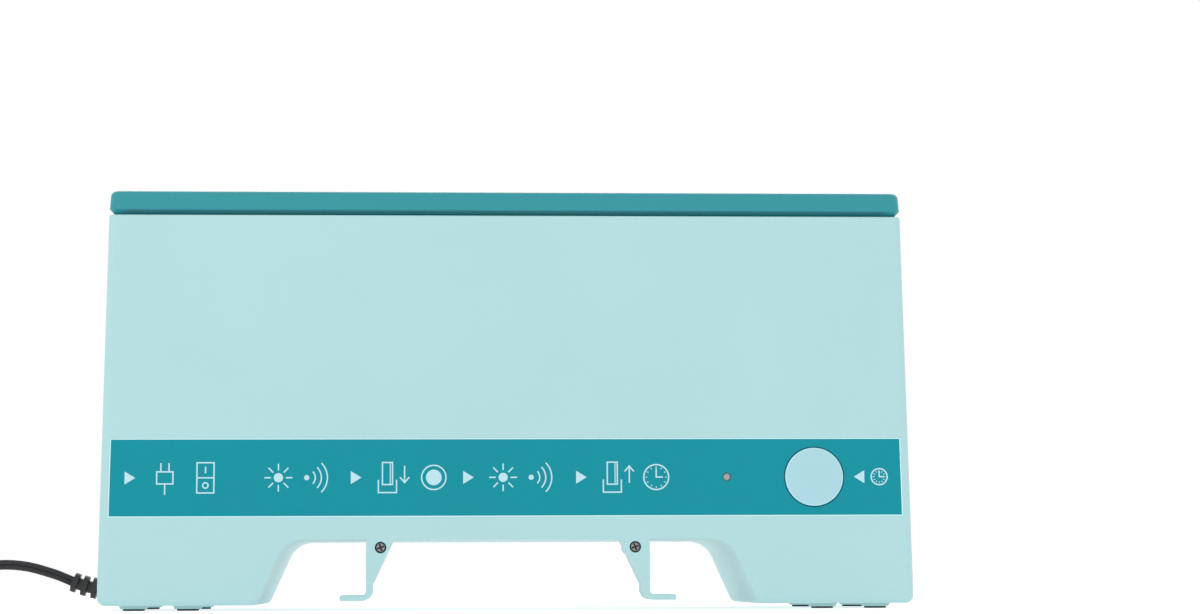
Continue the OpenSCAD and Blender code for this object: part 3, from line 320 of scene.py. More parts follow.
def shade_of(colour, factor):
    """A colour made lighter or darker."""
    return tuple(min(1.0, v * factor) for v in colour[:3]) + (1.0,)


class Number:
    """A value on a shader's socket. Sums and products of values add Math nodes."""

    def __init__(self, finish, socket):
        self.finish = finish
        self.socket = socket

    def math(self, operation, *values):
        sockets = dict(enumerate(values))
        return self.finish.node("ShaderNodeMath", {"operation": operation}, sockets)

    def __add__(self, other):
        return self.math("ADD", self, other)

    def __sub__(self, other):
        return self.math("SUBTRACT", self, other)

    def __rsub__(self, other):
        return self.math("SUBTRACT", other, self)

    def __mul__(self, other):
        return self.math("MULTIPLY", self, other)

    def __abs__(self):
        return self.math("ABSOLUTE", self)

    __radd__ = __add__
    __rmul__ = __mul__


class Finish:
    """A material on Object coordinates, in metres."""

    def __init__(self, name, roughness, sockets=None):
        self.material = bpy.data.materials.new(name)
        self.material.use_nodes = True
        self.tree = self.material.node_tree
        self.shader = self.tree.nodes["Principled BSDF"]
        self.shader.inputs["Roughness"].default_value = roughness
        for key, value in (sockets or {}).items():
            self.shader.inputs[key].default_value = value
        self.spot = self.node("ShaderNodeTexCoord", out="Object")

    def node(self, kind, settings=None, sockets=None, out=0):
        """Adds a node with its settings and the values or links of its sockets."""
        made = self.tree.nodes.new(kind)
        for name, value in (settings or {}).items():
            setattr(made, name, value)
        for key, value in (sockets or {}).items():
            if isinstance(value, Number):
                self.tree.links.new(value.socket, made.inputs[key])
            else:
                made.inputs[key].default_value = value
        return Number(self, made.outputs[out])

    def feed(self, socket, value):
        """Links a value to a socket of the shader."""
        self.tree.links.new(value.socket, self.shader.inputs[socket])

    def along(self, axis):
        """The coordinate along an axis, in metres."""
        return self.node("ShaderNodeSeparateXYZ", sockets={"Vector": self.spot}, out=axis.upper())

    def stretched(self, x, y, z):
        """Object coordinates, stretched along the axes."""
        return self.node("ShaderNodeMapping", sockets={"Vector": self.spot, "Scale": (x, y, z)})

    def distance(self, point):
        """Distance from a point."""
        vectors = {0: self.spot, 1: point}
        away = self.node("ShaderNodeVectorMath", {"operation": "SUBTRACT"}, vectors)
        return self.node("ShaderNodeVectorMath", {"operation": "LENGTH"}, {0: away}, out="Value")

    def ramp(self, value, low, high):
        """A share that grows from 0 to 1 while a value grows from low to high."""
        sockets = {"Value": value, "From Min": low, "From Max": high}
        return self.node("ShaderNodeMapRange", {"interpolation_type": "SMOOTHSTEP"}, sockets)

    def noise(self, scale, detail=2.0, where=None):
        """Noise with so many waves to the metre."""
        sockets = {"Vector": where or self.spot, "Scale": scale, "Detail": detail}
        return self.node("ShaderNodeTexNoise", sockets=sockets)

    def mix(self, share, low, high):
        """A mix of two colours."""
        sockets = {0: share, 6: low, 7: high}
        return self.node("ShaderNodeMix", {"data_type": "RGBA"}, sockets, out=2)

    def colour(self, share, low, high):
        """Feeds the base colour with a mix of two colours."""
        self.feed("Base Color", self.mix(share, low, high))

    def rough(self, value):
        """Feeds the roughness."""
        self.feed("Roughness", value)

    def bump(self, height, strength, distance):
        """Feeds the normal with a bump."""
        sockets = {"Height": height, "Strength": strength, "Distance": distance}
        self.feed("Normal", self.node("ShaderNodeBump", sockets=sockets))


def moulded(name, colour, roughness, grain=0.12, sockets=None, painted_shade=None):
    """Moulded plastic: a slow drift of tone and the fine grain of a spark-cut mould.

    The last argument, if given, paints shade: it takes the finish and its drift, and gives the
    share and the colour of the painted shade.
    """
    made = Finish(name, roughness, sockets)
    drift = made.noise(DRIFT_SCALE, 3)
    fleck = made.noise(GRAIN_SCALE, 1)
    tint = made.mix(drift * 0.7 + fleck * 0.3, shade_of(colour, 0.955), shade_of(colour, 1.045))
    # painted shade, mixed in where the last argument gives one
    if painted_shade:
        share, other = painted_shade(made, drift)
        tint = made.mix(share, tint, other)
    made.feed("Base Color", tint)
    made.rough(roughness - 0.05 + fleck * 0.1)
    made.bump(fleck, grain, GRAIN_DEEP)
    return made


def soft_rubber(name, colour, roughness, sockets=None, shaded_groove=False):
    """Soft rubber or flexible sheath, dusted and a little uneven, with painted shade in a marked
    groove.
    """
    made = Finish(name, roughness, sockets)
    dust = made.noise(160, 4)
    fleck = made.noise(3200, 2)
    tint = made.mix(dust * 0.5 + fleck * 0.3, shade_of(colour, 0.8), shade_of(colour, 1.35))
    if shaded_groove:
        # painted shade along the groove between the lead's two cores
        deep = made.node("ShaderNodeAttribute", {"attribute_name": GROOVE_SHADE}, out="Fac")
        tint = made.mix(deep, tint, shade_of(colour, 0.3))
    made.feed("Base Color", tint)
    made.rough(roughness - 0.08 + dust * 0.16)
    made.bump(fleck, 0.2, 0.06 * MM)
    return made


def brushed(name, colour, roughness, along, metallic=1.0):
    """Metal with fine lines that run along one axis."""
    made = Finish(name, roughness, {"Metallic": metallic})
    stretch = [60 if axis == along else 5200 for axis in "xyz"]
    lines = made.noise(1, 3, made.stretched(*stretch))
    patch = made.noise(30, 3)
    made.colour(lines * 0.6 + patch * 0.4, shade_of(colour, 0.78), shade_of(colour, 1.12))
    made.rough(roughness - 0.09 + lines * 0.18)
    made.bump(lines, 0.15, 0.03 * MM)
    return made


# Where the lid's bevel begins, which is darkened with painted shade: below the first pair, inside
# the second, in front of the third
BEVEL_SHADE_TOP = (0.2003, 0.2006)
BEVEL_SHADE_END = (0.190, 0.199)
BEVEL_SHADE_BACK = (-0.0575, -0.0555)


def painted_bevel_shade(made, drift):
    """Painted shade: a deeper teal along the bevel under the front edge of the lid, fading at its
    ends.
    """
    below = 1 - made.ramp(made.along("z"), *BEVEL_SHADE_TOP)
    inside_ends = 1 - made.ramp(abs(made.along("x")) + drift * 0.004, *BEVEL_SHADE_END)
    front = 1 - made.ramp(made.along("y"), *BEVEL_SHADE_BACK)
    return below * inside_ends * front, tone(40, 108, 116)


def dull(level):
    """A specular level for a surface that reflects less than bare plastic."""
    return {"Specular IOR Level": level}


mint = moulded("mint moulding", tone(169, 209, 212), 0.42)
pale_tray = moulded("pale tray moulding", tone(186, 215, 218), 0.38)
# The lid's teal, with painted shade along the bevel under its front edge
teal = moulded("teal moulding", tone(24, 139, 148), 0.40, painted_shade=painted_bevel_shade)
film = moulded("teal printed film", tone(8, 139, 153), 0.38, 0.04, dull(0.15))
ink = moulded("pale ink", tone(180, 218, 227), 0.45, 0.05)
# deep teal for the ring round the button, painted shade in its gap
gap_shade_teal = moulded("deep teal seal", tone(6, 98, 112), 0.5, 0.05, dull(0.1))
# paler mint for the film's lip, a painted highlight
highlight_mint = moulded("painted highlight lip", tone(205, 244, 246), 0.36, 0.05)
black = moulded("black moulding", tone(30, 30, 33), 0.34)
charcoal = moulded("charcoal moulding", tone(36, 34, 37), 0.42)
rubber = soft_rubber("black rubber", tone(34, 34, 35), 0.7)
sheath = soft_rubber("charcoal sheath", tone(31, 29, 31), 0.46)
twin_sheath = soft_rubber("twin lead sheath", tone(53, 52, 54), 0.46, dull(0.15), shaded_groove=True)
zinc = brushed("zinc-plated steel", tone(196, 199, 202), 0.34, "x")
aluminium = brushed("drawn aluminium", tone(214, 216, 218), 0.3, "x")
brass = brushed("plated brass", tone(222, 200, 158), 0.22, "y")


# Mains lead, along the route of the CAD model

LEAD_W = 5.2 * MM
LEAD_T = 3.4 * MM
LEAD_Y = 0.040
RELIEF_TIP = Vector((-0.227248, LEAD_Y, 0.014752))
RELIEF_HEADING = Vector((-0.921186, 0, 0.389125))
COIL_AT = Vector((-0.350, 0.0045, 0.0036))
COIL_R = 35.5 * MM
COIL_PITCH = 4 * MM
COIL_LAYER = 5.8 * MM
COIL_IN = 3.375 * 360
COIL_STEP = 15
COIL_POINTS = 175
PLUG_AT = Vector((-0.3855, -0.0315, 0.00685))


def coil_point(angle):
    """Point of the coil: in to the middle on the table, half a turn of climb, and out on top."""
    middle = COIL_IN + 90
    radius = COIL_R - COIL_PITCH / 360 * (min(angle, middle) - max(0, angle - middle))
    share = min(1, max(0, (angle - COIL_IN) / 180))
    turn = math.radians(90 + angle)
    climb = COIL_LAYER * share * share * (3 - 2 * share)
    return COIL_AT + Vector((radius * math.cos(turn), radius * math.sin(turn), climb))


def lead_route():
    """The route's points in metres: straight out, over a low arch, and into the coil."""
    route = [RELIEF_TIP, RELIEF_TIP + RELIEF_HEADING * LEAD_W]
    route.append(RELIEF_TIP + RELIEF_HEADING * 0.011 - Vector((0, 0, 0.0002)))
    loose = [
        (-0.250, 0.0224), (-0.262, 0.0236), (-0.274, 0.0226), (-0.286, 0.0194), (-0.298, 0.0146),
        (-0.310, 0.0096), (-0.322, 0.0058), (-0.334, 0.0040), (-0.338, 0.0036), (-0.344, 0.0036),
    ]
    route += [Vector((x, LEAD_Y, z)) for x, z in loose]
    route += [coil_point(COIL_STEP * i) for i in range(COIL_POINTS)]
    top = COIL_AT.z + COIL_LAYER
    ends = [(-0.0075, top - 0.0006), (-0.0175, (top + PLUG_AT.z) / 2), (-0.0255, PLUG_AT.z)]
    route += [Vector((PLUG_AT.x, y, z)) for y, z in ends]
    return route + [PLUG_AT.copy()]


def rounded_route(points, steps):
    """A smooth line through the points."""
    spread = [2 * points[0] - points[1], *points, 2 * points[-1] - points[-2]]
    line = []
    for a, b, c, d in zip(spread, spread[1:], spread[2:], spread[3:]):
        slope = c - a
        bend = 2 * a - 5 * b + 4 * c - d
        sway = 3 * b - a - 3 * c + d
        for i in range(steps):
            t = i / steps
            line.append((2 * b + slope * t + bend * t * t + sway * t ** 3) / 2)
    return line + [points[-1]]


def twin_section(points_per_core=11):
    """Outline of two round cores side by side, with the groove where they meet."""
    core = LEAD_T / 2
    apart = (LEAD_W - LEAD_T) / 2
    dip = math.asin(apart / core)
    ring = []
    for side in (1, -1):
        for i in range(points_per_core - 1):
            turn = -dip + (math.pi + 2 * dip) * i / (points_per_core - 1)
            ring.append((side * core * math.cos(turn), side * (apart + core * math.sin(turn))))
    return ring


def tube(name, line, ring):
    """A closed tube of the given outline, upright along a line, with its groove marked for
    painted shade.
    """
    points, faces, n = [], [], len(ring)
    for i, point in enumerate(line):
        ahead = (line[min(i + 1, len(line) - 1)] - line[max(i - 1, 0)]).normalized()
        side = ahead.cross(Vector((0, 0, 1))).normalized()
        up = side.cross(ahead)
        points += [point + side * a + up * b for a, b in ring]
    for i in range(len(line) - 1):
        for k in range(n):
            a, b = i * n + k, i * n + (k + 1) % n
            faces.append((a, b, b + n, a + n))
    last = len(points) - n
    faces += [tuple(range(n))[::-1], tuple(range(last, last + n))]
    mesh = bpy.data.meshes.new(name)
    mesh.from_pydata(points, [], faces)
    narrowest = min(math.hypot(a, b) for a, b in ring)
    # the groove's points, marked for painted shade
    groove_shade_marks = [float(math.hypot(a, b) < narrowest * 1.01) for a, b in ring] * len(line)
    mesh.attributes.new(GROOVE_SHADE, "FLOAT", "POINT").data.foreach_set("value", groove_shade_marks)
    piece = bpy.data.objects.new(name, mesh)
    bpy.context.scene.collection.objects.link(piece)
    with Bench(piece) as bench:
        bench.all()
        bpy.ops.mesh.normals_make_consistent(inside=False)
    smooth(piece, 60)
    return piece


lead_line = rounded_route(lead_route(), 3)
lead = tube("mains_lead", lead_line, twin_section())
dress(lead, "case", "cord_rubber", twin_sheath, "cord_run", "cord_coil")
moulding("strain_relief", "strain_relief_sleeve", "case", "cord_rubber", sheath, 0.35, 3)

# Plug: along it Z runs to the pins, as in the CAD model
plug_frame = Matrix.Translation(PLUG_AT) @ Matrix.Rotation(math.radians(90), 4, "X")


def plug_grip():
    """Moulded ridges on both broad faces, and the thicker roots of the pins' sleeves."""
    ridges, ridge_size, ridge_edge = 8, (8.6, 1.1, 0.5), 0.2
    ridge_start, ridge_step, face_depth, face_slope = 24.2, 1.05, 5.05, 0.1
    root_r, root_l, root_taper = 2.7, 3.2, 0.75
    pin_x, pin_start, pin_lean = 9.3, 48.0, 1.6
    made = []
    for side in (1, -1):
        for i in range(ridges):
            depth = side * (face_depth + face_slope * i)
            height = ridge_start + ridge_step * i
            made.append(block("ridge", 0, depth, height, ridge_size, ridge_edge))
    for side in (1, -1):
        root = round_bar("root", root_r, root_l, 32)
        with Bench(root) as bench:
            bench.faces(lambda middle, normal: normal.z > 0.9)
            bpy.ops.transform.resize(
                value=(root_taper, root_taper, 1), center_override=(0, 0, root_l * MM)
            )
        lean = Matrix.Rotation(math.radians(-side * pin_lean), 4, "Y")
        seat = Matrix.Translation((side * pin_x * MM, 0, pin_start * MM))
        made.append(place(root, seat @ lean))
    return place(join("plug_grip", made), plug_frame)


plug = moulding("plug_body", "plug_moulding", "case", "plug_plastic", charcoal, 0.5, 3)
grip = plug_grip()
smooth(grip, 40)
dress(grip, "case", "plug_plastic", charcoal)
pins = smooth_copy("plug_pins", "plug_pin_tips", "case", "tinned_brass", brass, 40)
tie = moulding("cord_tie", "cord_strap", "case", "tie_plastic", charcoal, 0.2)


# Case

SIDE_LEAN = 0.9
FACE_LEAN = -3
CASE_HALF_W = 0.203
CASE_HALF_D = 0.069
PARTING_Y = -0.029
RIM_Z = 0.198
LEGS_TOP = 0.041
CONTROLS_LOW, CONTROLS_TOP = 0.042, 0.19
NEAR = 4e-5
HOOK_SCREW = Vector((0.0633, -0.064375, 0.031))
POCKET_R = 3.4 * MM
SWITCH_Y, SWITCH_Z = 0.020, 0.112

toward_front = Matrix.Rotation(math.radians(90), 4, "X")
face_turn = Matrix.Rotation(math.radians(FACE_LEAN), 4, "X") @ toward_front
face = Matrix.Translation((0, -CASE_HALF_D, 0)) @ face_turn
back = Matrix.Rotation(math.pi, 4, "Z") @ face
side_turn = Matrix.Rotation(math.radians(-SIDE_LEAN), 4, "Y")
side_wall = Matrix.Translation((CASE_HALF_W, 0, 0)) @ side_turn


def on_panel(panel, lowest, highest, pockets=False):
    """A test for points of a panel between two heights, in or out of the screws' pockets."""
    inward = panel.inverted()

    def test(point):
        x, y, out = inward @ point
        pocket = math.hypot(abs(x) - HOOK_SCREW.x, y - HOOK_SCREW.z) < POCKET_R
        return abs(out) < NEAR and lowest < y < highest and pocket == pockets

    return test


def round_switch(point):
    """A test for points in the plane of the right side, round the switch's pocket."""
    out, y, z = side_wall.inverted() @ point
    return abs(out) < NEAR and abs(y - SWITCH_Y) < 0.015 and abs(z - SWITCH_Z) < 0.020


def at_parting(point):
    """A test for points where the two halves of the case meet."""
    return abs(point.y - PARTING_Y) < NEAR


def at_rim(point):
    """A test for points on the rim of the case."""
    return abs(point.z - RIM_Z) < NEAR


front_shell = cad_copy("front_cover", "front_moulding")
rear_shell = cad_copy("main_housing", "rear_moulding")
for shell, panel in ((front_shell, face), (rear_shell, back)):
    round_edges(shell, 0.8, 4, on_panel(panel, 0, LEGS_TOP))
    round_edges(shell, 0.35, 3, on_panel(panel, 0, LEGS_TOP, pockets=True))
    round_edges(shell, 0.15, 2, on_panel(panel, CONTROLS_LOW, CONTROLS_TOP))
    round_edges(shell, 0.3, 2, at_parting)
    round_edges(shell, 0.9, 4, at_rim)
    round_edges(shell, 0.3, 2, round_switch)
    even_shading(shell)
dress(front_shell, "case", "mint_plastic", mint, "front_cover")
dress(rear_shell, "case", "mint_plastic", mint, "main_housing")
moulding("top_deck", "deck_moulding", "case", "mint_plastic", mint, 0.4)

cover = cad_copy("lid", "lid_moulding")
soften(cover, 0.3)
even_shading(cover)
dress(cover, "lid", "teal_plastic", teal, "lid")

moulding("rubber_feet", "foot_pads", "case", "black_rubber", rubber, 0.25)
moulding("lid_bumpers", "lid_buffers", "case", "black_rubber", rubber, 0.5, 3)


def cross_screw(name, head_r, head_h, shank_r, shank_l, matrix):
    """A screw with a domed head and a cross recess, its head's underside at the origin."""
    made = round_bar(name, head_r, head_h)
    top = head_h * MM
    with Bench(made) as bench:
        bench.faces(lambda middle, normal: normal.z < -0.9)
        bpy.ops.mesh.inset(thickness=(head_r - shank_r) * MM)
        bench.extrude(0, 0, -shank_l * MM)
        bench.edges(lambda a, b: a.z > top - TOUCH and b.z > top - TOUCH)
        bpy.ops.mesh.bevel(offset=0.5 * head_h * MM, segments=5, affect="EDGES")
    recess = (head_r * 1.4, head_r * 0.34, head_h * 1.1)
    for turn in (20, 110):
        cutter = block("cutter", 0, 0, head_h, recess)
        cut(made, place(cutter, Matrix.Rotation(math.radians(turn), 4, "Z")))
    return place(made, matrix)


def painted_lit_black(name, crown, depth):
    """Blackened steel, with a painted highlight on a crown that faces front and painted shade
    below a depth.
    """
    made = Finish(name, 0.36, {"Metallic": 1.0})
    fleck = made.noise(900, 3)
    # painted shade deeper in the pocket, below a painted highlight on the front crown
    deep = made.ramp(made.along("y") + fleck * 0.0002, crown + 0.25 * depth, crown + depth)
    made.colour(deep, tone(150, 145, 146), tone(58, 56, 57))
    made.rough(0.3 + fleck * 0.16)
    made.bump(fleck, 0.1, 0.04 * MM)
    return made


HOOK_HEAD_R, HOOK_HEAD_H = 2.6, 2
HOOK_SHANK_R, HOOK_SHANK_L = 1.6, 46.4
hook_screws = [
    cross_screw(
        f"hook_screw_{name}", HOOK_HEAD_R, HOOK_HEAD_H, HOOK_SHANK_R, HOOK_SHANK_L,
        Matrix.Translation((x, HOOK_SCREW.y, HOOK_SCREW.z)) @ toward_front,
    )
    for name, x in (("left", -HOOK_SCREW.x), ("right", HOOK_SCREW.x))
]
dark_steel = painted_lit_black("blackened steel", HOOK_SCREW.y - HOOK_HEAD_H * MM, 0.8 * MM)
screws = join("hook_screw_pair", hook_screws)
smooth(screws, 35)
dress(screws, "case", "dark_steel", dark_steel, "hook_screws")

DECK_HEAD_R, DECK_HEAD_H = 2.8, 1.8
DECK_SHANK_R, DECK_SHANK_L = 1.5, 14
low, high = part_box("deck_screws")
deck_places = [
    (x, y)
    for x in (low.x + DECK_HEAD_R * MM, high.x - DECK_HEAD_R * MM)
    for y in (low.y + DECK_HEAD_R * MM, high.y - DECK_HEAD_R * MM)
]
deck_screws = [
    cross_screw(
        f"deck_screw_{i}", DECK_HEAD_R, DECK_HEAD_H, DECK_SHANK_R, DECK_SHANK_L,
        Matrix.Translation((x, y, high.z - DECK_HEAD_H * MM)),
    )
    for i, (x, y) in enumerate(deck_places)
]
screws = join("deck_screw_set", deck_screws)
smooth(screws, 35)
dress(screws, "case", "zinc_steel", zinc, "deck_screws")


# Front panel: in its own plane X runs right, Y up along the face and Z out of it

PRINT_Y = 65.8
BAND_Y = PRINT_Y * MM
BUTTON_X = 0.1534
LENS_X = 0.1094
FILM_TOP = 0.2
BUTTON_AT = face @ Vector((BUTTON_X, BAND_Y, 0))
# Where the painted highlight round the button's rim fades in, in metres from its middle
BUTTON_HIGHLIGHT = (0.0138, 0.0145)


def rim_highlighted(name, colour, highlight_colour):
    """A glossy cap, with a painted highlight that makes it paler towards its rim."""
    made = Finish(name, 0.26)
    drift = made.noise(DRIFT_SCALE, 3)
    plain = made.mix(drift, shade_of(colour, 0.97), shade_of(colour, 1.03))
    # painted highlight round the rim of the button
    made.colour(made.ramp(made.distance(BUTTON_AT), *BUTTON_HIGHLIGHT), plain, highlight_colour)
    made.rough(0.22 + drift * 0.08)
    made.bump(made.noise(GRAIN_SCALE, 1), 0.03, GRAIN_DEEP)
    return made


button_blue = rim_highlighted("pale button moulding", tone(163, 206, 215), tone(186, 234, 246))
moulding("timer_button", "button_cap", "timer_button", "button_plastic", button_blue, 0.7, 5)

spring = smooth_copy("button_spring", "return_spring", "case", "zinc_steel", zinc, 60)
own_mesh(spring)

LENS_R, LENS_L, LENS_BACK = 2.1, 11, -10.8
COLLAR_R, COLLAR_L = 3.3, 1.7
LENS_FADE = (0.0008, 0.0024)


def lens_dome():
    """Round lens with a low dome, and the collar behind it that stops on the cover's boss."""
    made = round_bar("indicator_lens", LENS_R, LENS_L, 48)
    top = LENS_L * MM
    with Bench(made) as bench:
        bench.edges(lambda a, b: a.z > top - TOUCH and b.z > top - TOUCH)
        bpy.ops.mesh.bevel(offset=0.5 * MM, segments=5, affect="EDGES")
        bench.faces(lambda middle, normal: middle.z > top - TOUCH)
        for _ in range(3):
            bpy.ops.mesh.inset(thickness=0.4 * MM)
            bpy.ops.transform.translate(value=(0, 0, 0.05 * MM))
    collar = round_bar("collar", COLLAR_R, COLLAR_L, 48)
    with Bench(collar) as bench:
        bench.edges(lambda a, b: abs(a.z - b.z) < TOUCH)
        bpy.ops.mesh.bevel(offset=0.2 * MM, segments=2, affect="EDGES")
    seat = Matrix.Translation((LENS_X, BAND_Y, LENS_BACK * MM))
    return place(join("indicator_lens", [made, collar]), face @ seat)


def frosted(name, point):
    """A frosted lens, paler round a point on its axis than at its rim."""
    made = Finish(name, 0.24)
    fleck = made.noise(1800, 2)
    rim = made.ramp(made.distance(point) + fleck * 0.0004, *LENS_FADE)
    made.colour(rim, tone(158, 157, 159), tone(92, 112, 114))
    made.rough(0.2 + fleck * 0.12)
    made.bump(fleck, 0.05, GRAIN_DEEP)
    return made


lens_grey = frosted("frosted lens", face @ Vector((LENS_X, BAND_Y, FILM_TOP * MM)))
lens = lens_dome()
smooth(lens, 40)
dress(lens, "case", "lens_plastic", lens_grey, "led_lens")
smooth_copy("status_led", "status_lamp", "case", "lens_plastic", lens_grey, 40)


# Print on the panel, in millimetres, flat at first

LINE = 0.7
ARROW_L, ARROW_H = 5.3, 6.5
TRIANGLE_L, TRIANGLE_H = 1.5, 1.732


def bar(x0, y0, x1, y1, width=LINE):
    """A straight printed line between two points."""
    run = Vector((x1 - x0, y1 - y0))
    middle = ((x0 + x1) / 2 * MM, (y0 + y1) / 2 * MM, 0)
    bpy.ops.object.select_all(action="DESELECT")
    bpy.ops.mesh.primitive_plane_add(size=1, location=middle)
    made = bpy.context.object
    made.scale = ((run.length + width) * MM, width * MM, 1)
    made.rotation_euler.z = math.atan2(run.y, run.x)
    bpy.ops.object.transform_apply(location=True, rotation=True, scale=True)
    return made


def disc(x, y, radius, sides=40, turn=0.0):
    """A printed disc, or a shape with few sides."""
    bpy.ops.object.select_all(action="DESELECT")
    bpy.ops.mesh.primitive_circle_add(
        vertices=sides, radius=radius * MM, fill_type="NGON", location=(x * MM, y * MM, 0),
        rotation=(0, 0, math.radians(turn)),
    )
    made = bpy.context.object
    bpy.ops.object.transform_apply(location=True, rotation=True, scale=True)
    return made


def ring(x, y, radius, width=LINE, sides=40):
    """A printed ring."""
    made = disc(x, y, radius, sides)
    with Bench(made) as bench:
        bench.all()
        bpy.ops.mesh.inset(thickness=width * MM)
        bpy.ops.mesh.delete(type="FACE")
    return made


def arc(x, y, radius, width=LINE):
    """The right quarter of a printed ring."""
    made = ring(x, y, radius, width, 64)
    for slope in (1, -1):
        with Bench(made) as bench:
            bench.all()
            bpy.ops.mesh.bisect(
                plane_co=(x * MM, y * MM, 0), plane_no=(-slope, 1, 0),
                clear_outer=slope > 0, clear_inner=slope < 0,
            )
    return made


def arrowhead(x, y, direction):
    """A printed triangle that points right or left."""
    made = disc(0, 0, 1, 3, -90 * direction)
    with Bench(made) as bench:
        bench.all()
        bpy.ops.transform.resize(value=(ARROW_L / TRIANGLE_L, ARROW_H / TRIANGLE_H, 1))
    return place(made, Matrix.Translation((x * MM, y * MM, 0)))


def outline(x, y, wide, tall):
    """A printed rectangle in outline."""
    left, right, low, high = x - wide / 2, x + wide / 2, y - tall / 2, y + tall / 2
    corners = [(left, low), (right, low), (right, high), (left, high)]
    return [bar(*a, *b) for a, b in zip(corners, corners[1:] + corners[:1])]


def plug_sign(x, y):
    return [
        *outline(x, y, 8, 6), bar(x - 2, y + 3, x - 2, y + 7), bar(x + 2, y + 3, x + 2, y + 7),
        bar(x, y - 3, x, y - 8),
    ]


def rocker_sign(x, y):
    return [
        *outline(x, y, 8.4, 15), bar(x - 4, y, x + 4, y), bar(x, y + 2.6, x, y + 5.2),
        ring(x, y - 3.8, 1.7),
    ]


def lamp_sign(x, y):
    made = [disc(x, y, 2.3)]
    for i in range(8):
        turn = math.radians(45 * i)
        c, s = math.cos(turn), math.sin(turn)
        made.append(bar(x + 4 * c, y + 4 * s, x + 6.6 * c, y + 6.6 * s))
    return made


def sound_sign(x, y):
    return [disc(x - 4, y, 1.3), *(arc(x - 4, y, radius) for radius in (4.6, 7.6, 10.6))]


def book_sign(x, y, direction):
    """A book over a slot, with an arrow beside it that points in or out."""
    tip, barb = y + 1.5 + direction * 4, direction * 2.4
    return [
        *outline(x - 3, y + 2, 5, 11), bar(x - 1.6, y - 3.5, x - 1.6, y + 7.5, 0.5),
        bar(x - 7.5, y - 1.5, x - 7.5, y - 7.5), bar(x - 7.5, y - 7.5, x + 1.5, y - 7.5),
        bar(x + 1.5, y - 7.5, x + 1.5, y - 1.5),
        bar(x + 5.5, y + 1.5 - direction * 4, x + 5.5, tip),
        bar(x + 5.5, tip, x + 3.4, tip - barb), bar(x + 5.5, tip, x + 7.6, tip - barb),
    ]


def button_sign(x, y):
    return [ring(x, y, 6.4), disc(x, y, 3.9)]


def clock_sign(x, y, radius=6.6):
    made = [ring(x, y, radius), bar(x, y, x, y + radius * 0.6), bar(x, y, x + radius * 0.45, y)]
    inner, outer = radius - 1.9, radius - 1.4
    for i in range(12):
        turn = math.radians(30 * i)
        c, s = math.cos(turn), math.sin(turn)
        made.append(bar(x + inner * c, y + inner * s, x + outer * c, y + outer * s, 0.4))
    return made


SHADE_RING_R, SHADE_RING_W, SHADE_RING_T, SHADE_RING_SUNK = 15.25, 0.58, 0.4, 0.3


def gap_shade_ring():
    """A thin dark ring that all but closes the gap round the button: painted shade in that gap.
    """
    made = ring(0, 0, SHADE_RING_R, SHADE_RING_W, 96)
    modify(made, "SOLIDIFY", thickness=SHADE_RING_T * MM, offset=-1)
    with Bench(made) as bench:
        bench.all()
        bpy.ops.mesh.normals_make_consistent(inside=False)
    made.name = made.data.name = "gap_shade_ring"
    return place(made, face @ Matrix.Translation((BUTTON_X, BAND_Y, -SHADE_RING_SUNK * MM)))


# a dark ring as painted shade in the gap round the button
gap_shade = gap_shade_ring()
smooth(gap_shade, 40)
dress(gap_shade, "case", "dark_plastic", gap_shade_teal)

PRINT_T, PRINT_LIFT = 0.1, 0.02
PRINT_STEP, PRINT_STEPS = 0.004, 7


def panel_print():
    """Arrowheads in a row, with plain signs for each step between them.

    Lines that cross differ a little in height, so that no two faces lie in one plane.
    """
    y = PRINT_Y
    made = [arrowhead(x, y, 1) for x in (-187.4, -75.8, -20, 36.3)] + [arrowhead(176.3, y, -1)]
    made += plug_sign(-170, y) + rocker_sign(-150, y)
    made += lamp_sign(-114, y) + sound_sign(-96, y)
    made += book_sign(-57, y, -1) + button_sign(-37, y)
    made += lamp_sign(-2.5, y) + sound_sign(15.5, y)
    made += book_sign(55, y, 1) + clock_sign(74, y)
    made += clock_sign(186.2, y, 4.4)
    for i, sign in enumerate(made):
        place(sign, Matrix.Translation((0, 0, i % PRINT_STEPS * PRINT_STEP * MM)))
    signs = join("panel_print", made)
    modify(signs, "SOLIDIFY", thickness=PRINT_T * MM, offset=0)
    return place(signs, face @ Matrix.Translation((0, 0, (FILM_TOP + PRINT_LIFT) * MM)))


FILM_LOW, FILM_HIGH, FILM_DEEP = 46.8, 84.8, 0.5
FILM_HALF_W = 198
BUTTON_HOLE_R, LENS_HOLE_R = 15.2, 2.2


def film_side(y):
    """Half the width of the film at a height on the panel, in millimetres."""
    return FILM_HALF_W - y * math.tan(math.radians(SIDE_LEAN))


def printed_film():
    """The printed film in its shallow seat, with round holes for the button and the lens."""
    wide, tall = 2 * film_side(FILM_LOW), FILM_HIGH - FILM_LOW
    narrowing = film_side(FILM_HIGH) / film_side(FILM_LOW)
    middle = (0, 0, 0)
    bpy.ops.object.select_all(action="DESELECT")
    bpy.ops.mesh.primitive_plane_add(size=1)
    made = bpy.context.object
    made.name = made.data.name = "printed_film"
    with Bench(made) as bench:
        bench.edges(lambda a, b: a.y > 0 and b.y > 0)
        bpy.ops.transform.resize(value=(narrowing, 1, 1), center_override=middle)
        bench.all()
        bpy.ops.transform.resize(value=(wide * MM, tall * MM, 1), center_override=middle)
        bpy.ops.transform.translate(value=(0, BAND_Y, FILM_TOP * MM))
    modify(made, "SOLIDIFY", thickness=FILM_DEEP * MM, offset=-1)
    for x, radius in ((BUTTON_X, BUTTON_HOLE_R), (LENS_X, LENS_HOLE_R)):
        cutter = round_bar("cutter", radius, 4, 128)
        cut(made, place(cutter, Matrix.Translation((x, BAND_Y, -2 * MM))))
    return place(made, face)


LIP_BELOW, LIP_ABOVE, LIP_BESIDE = 0.5, 0.4, 0.45
LIP_H, LIP_CROWN, LIP_SLOPE = 0.14, 0.08, 0.1


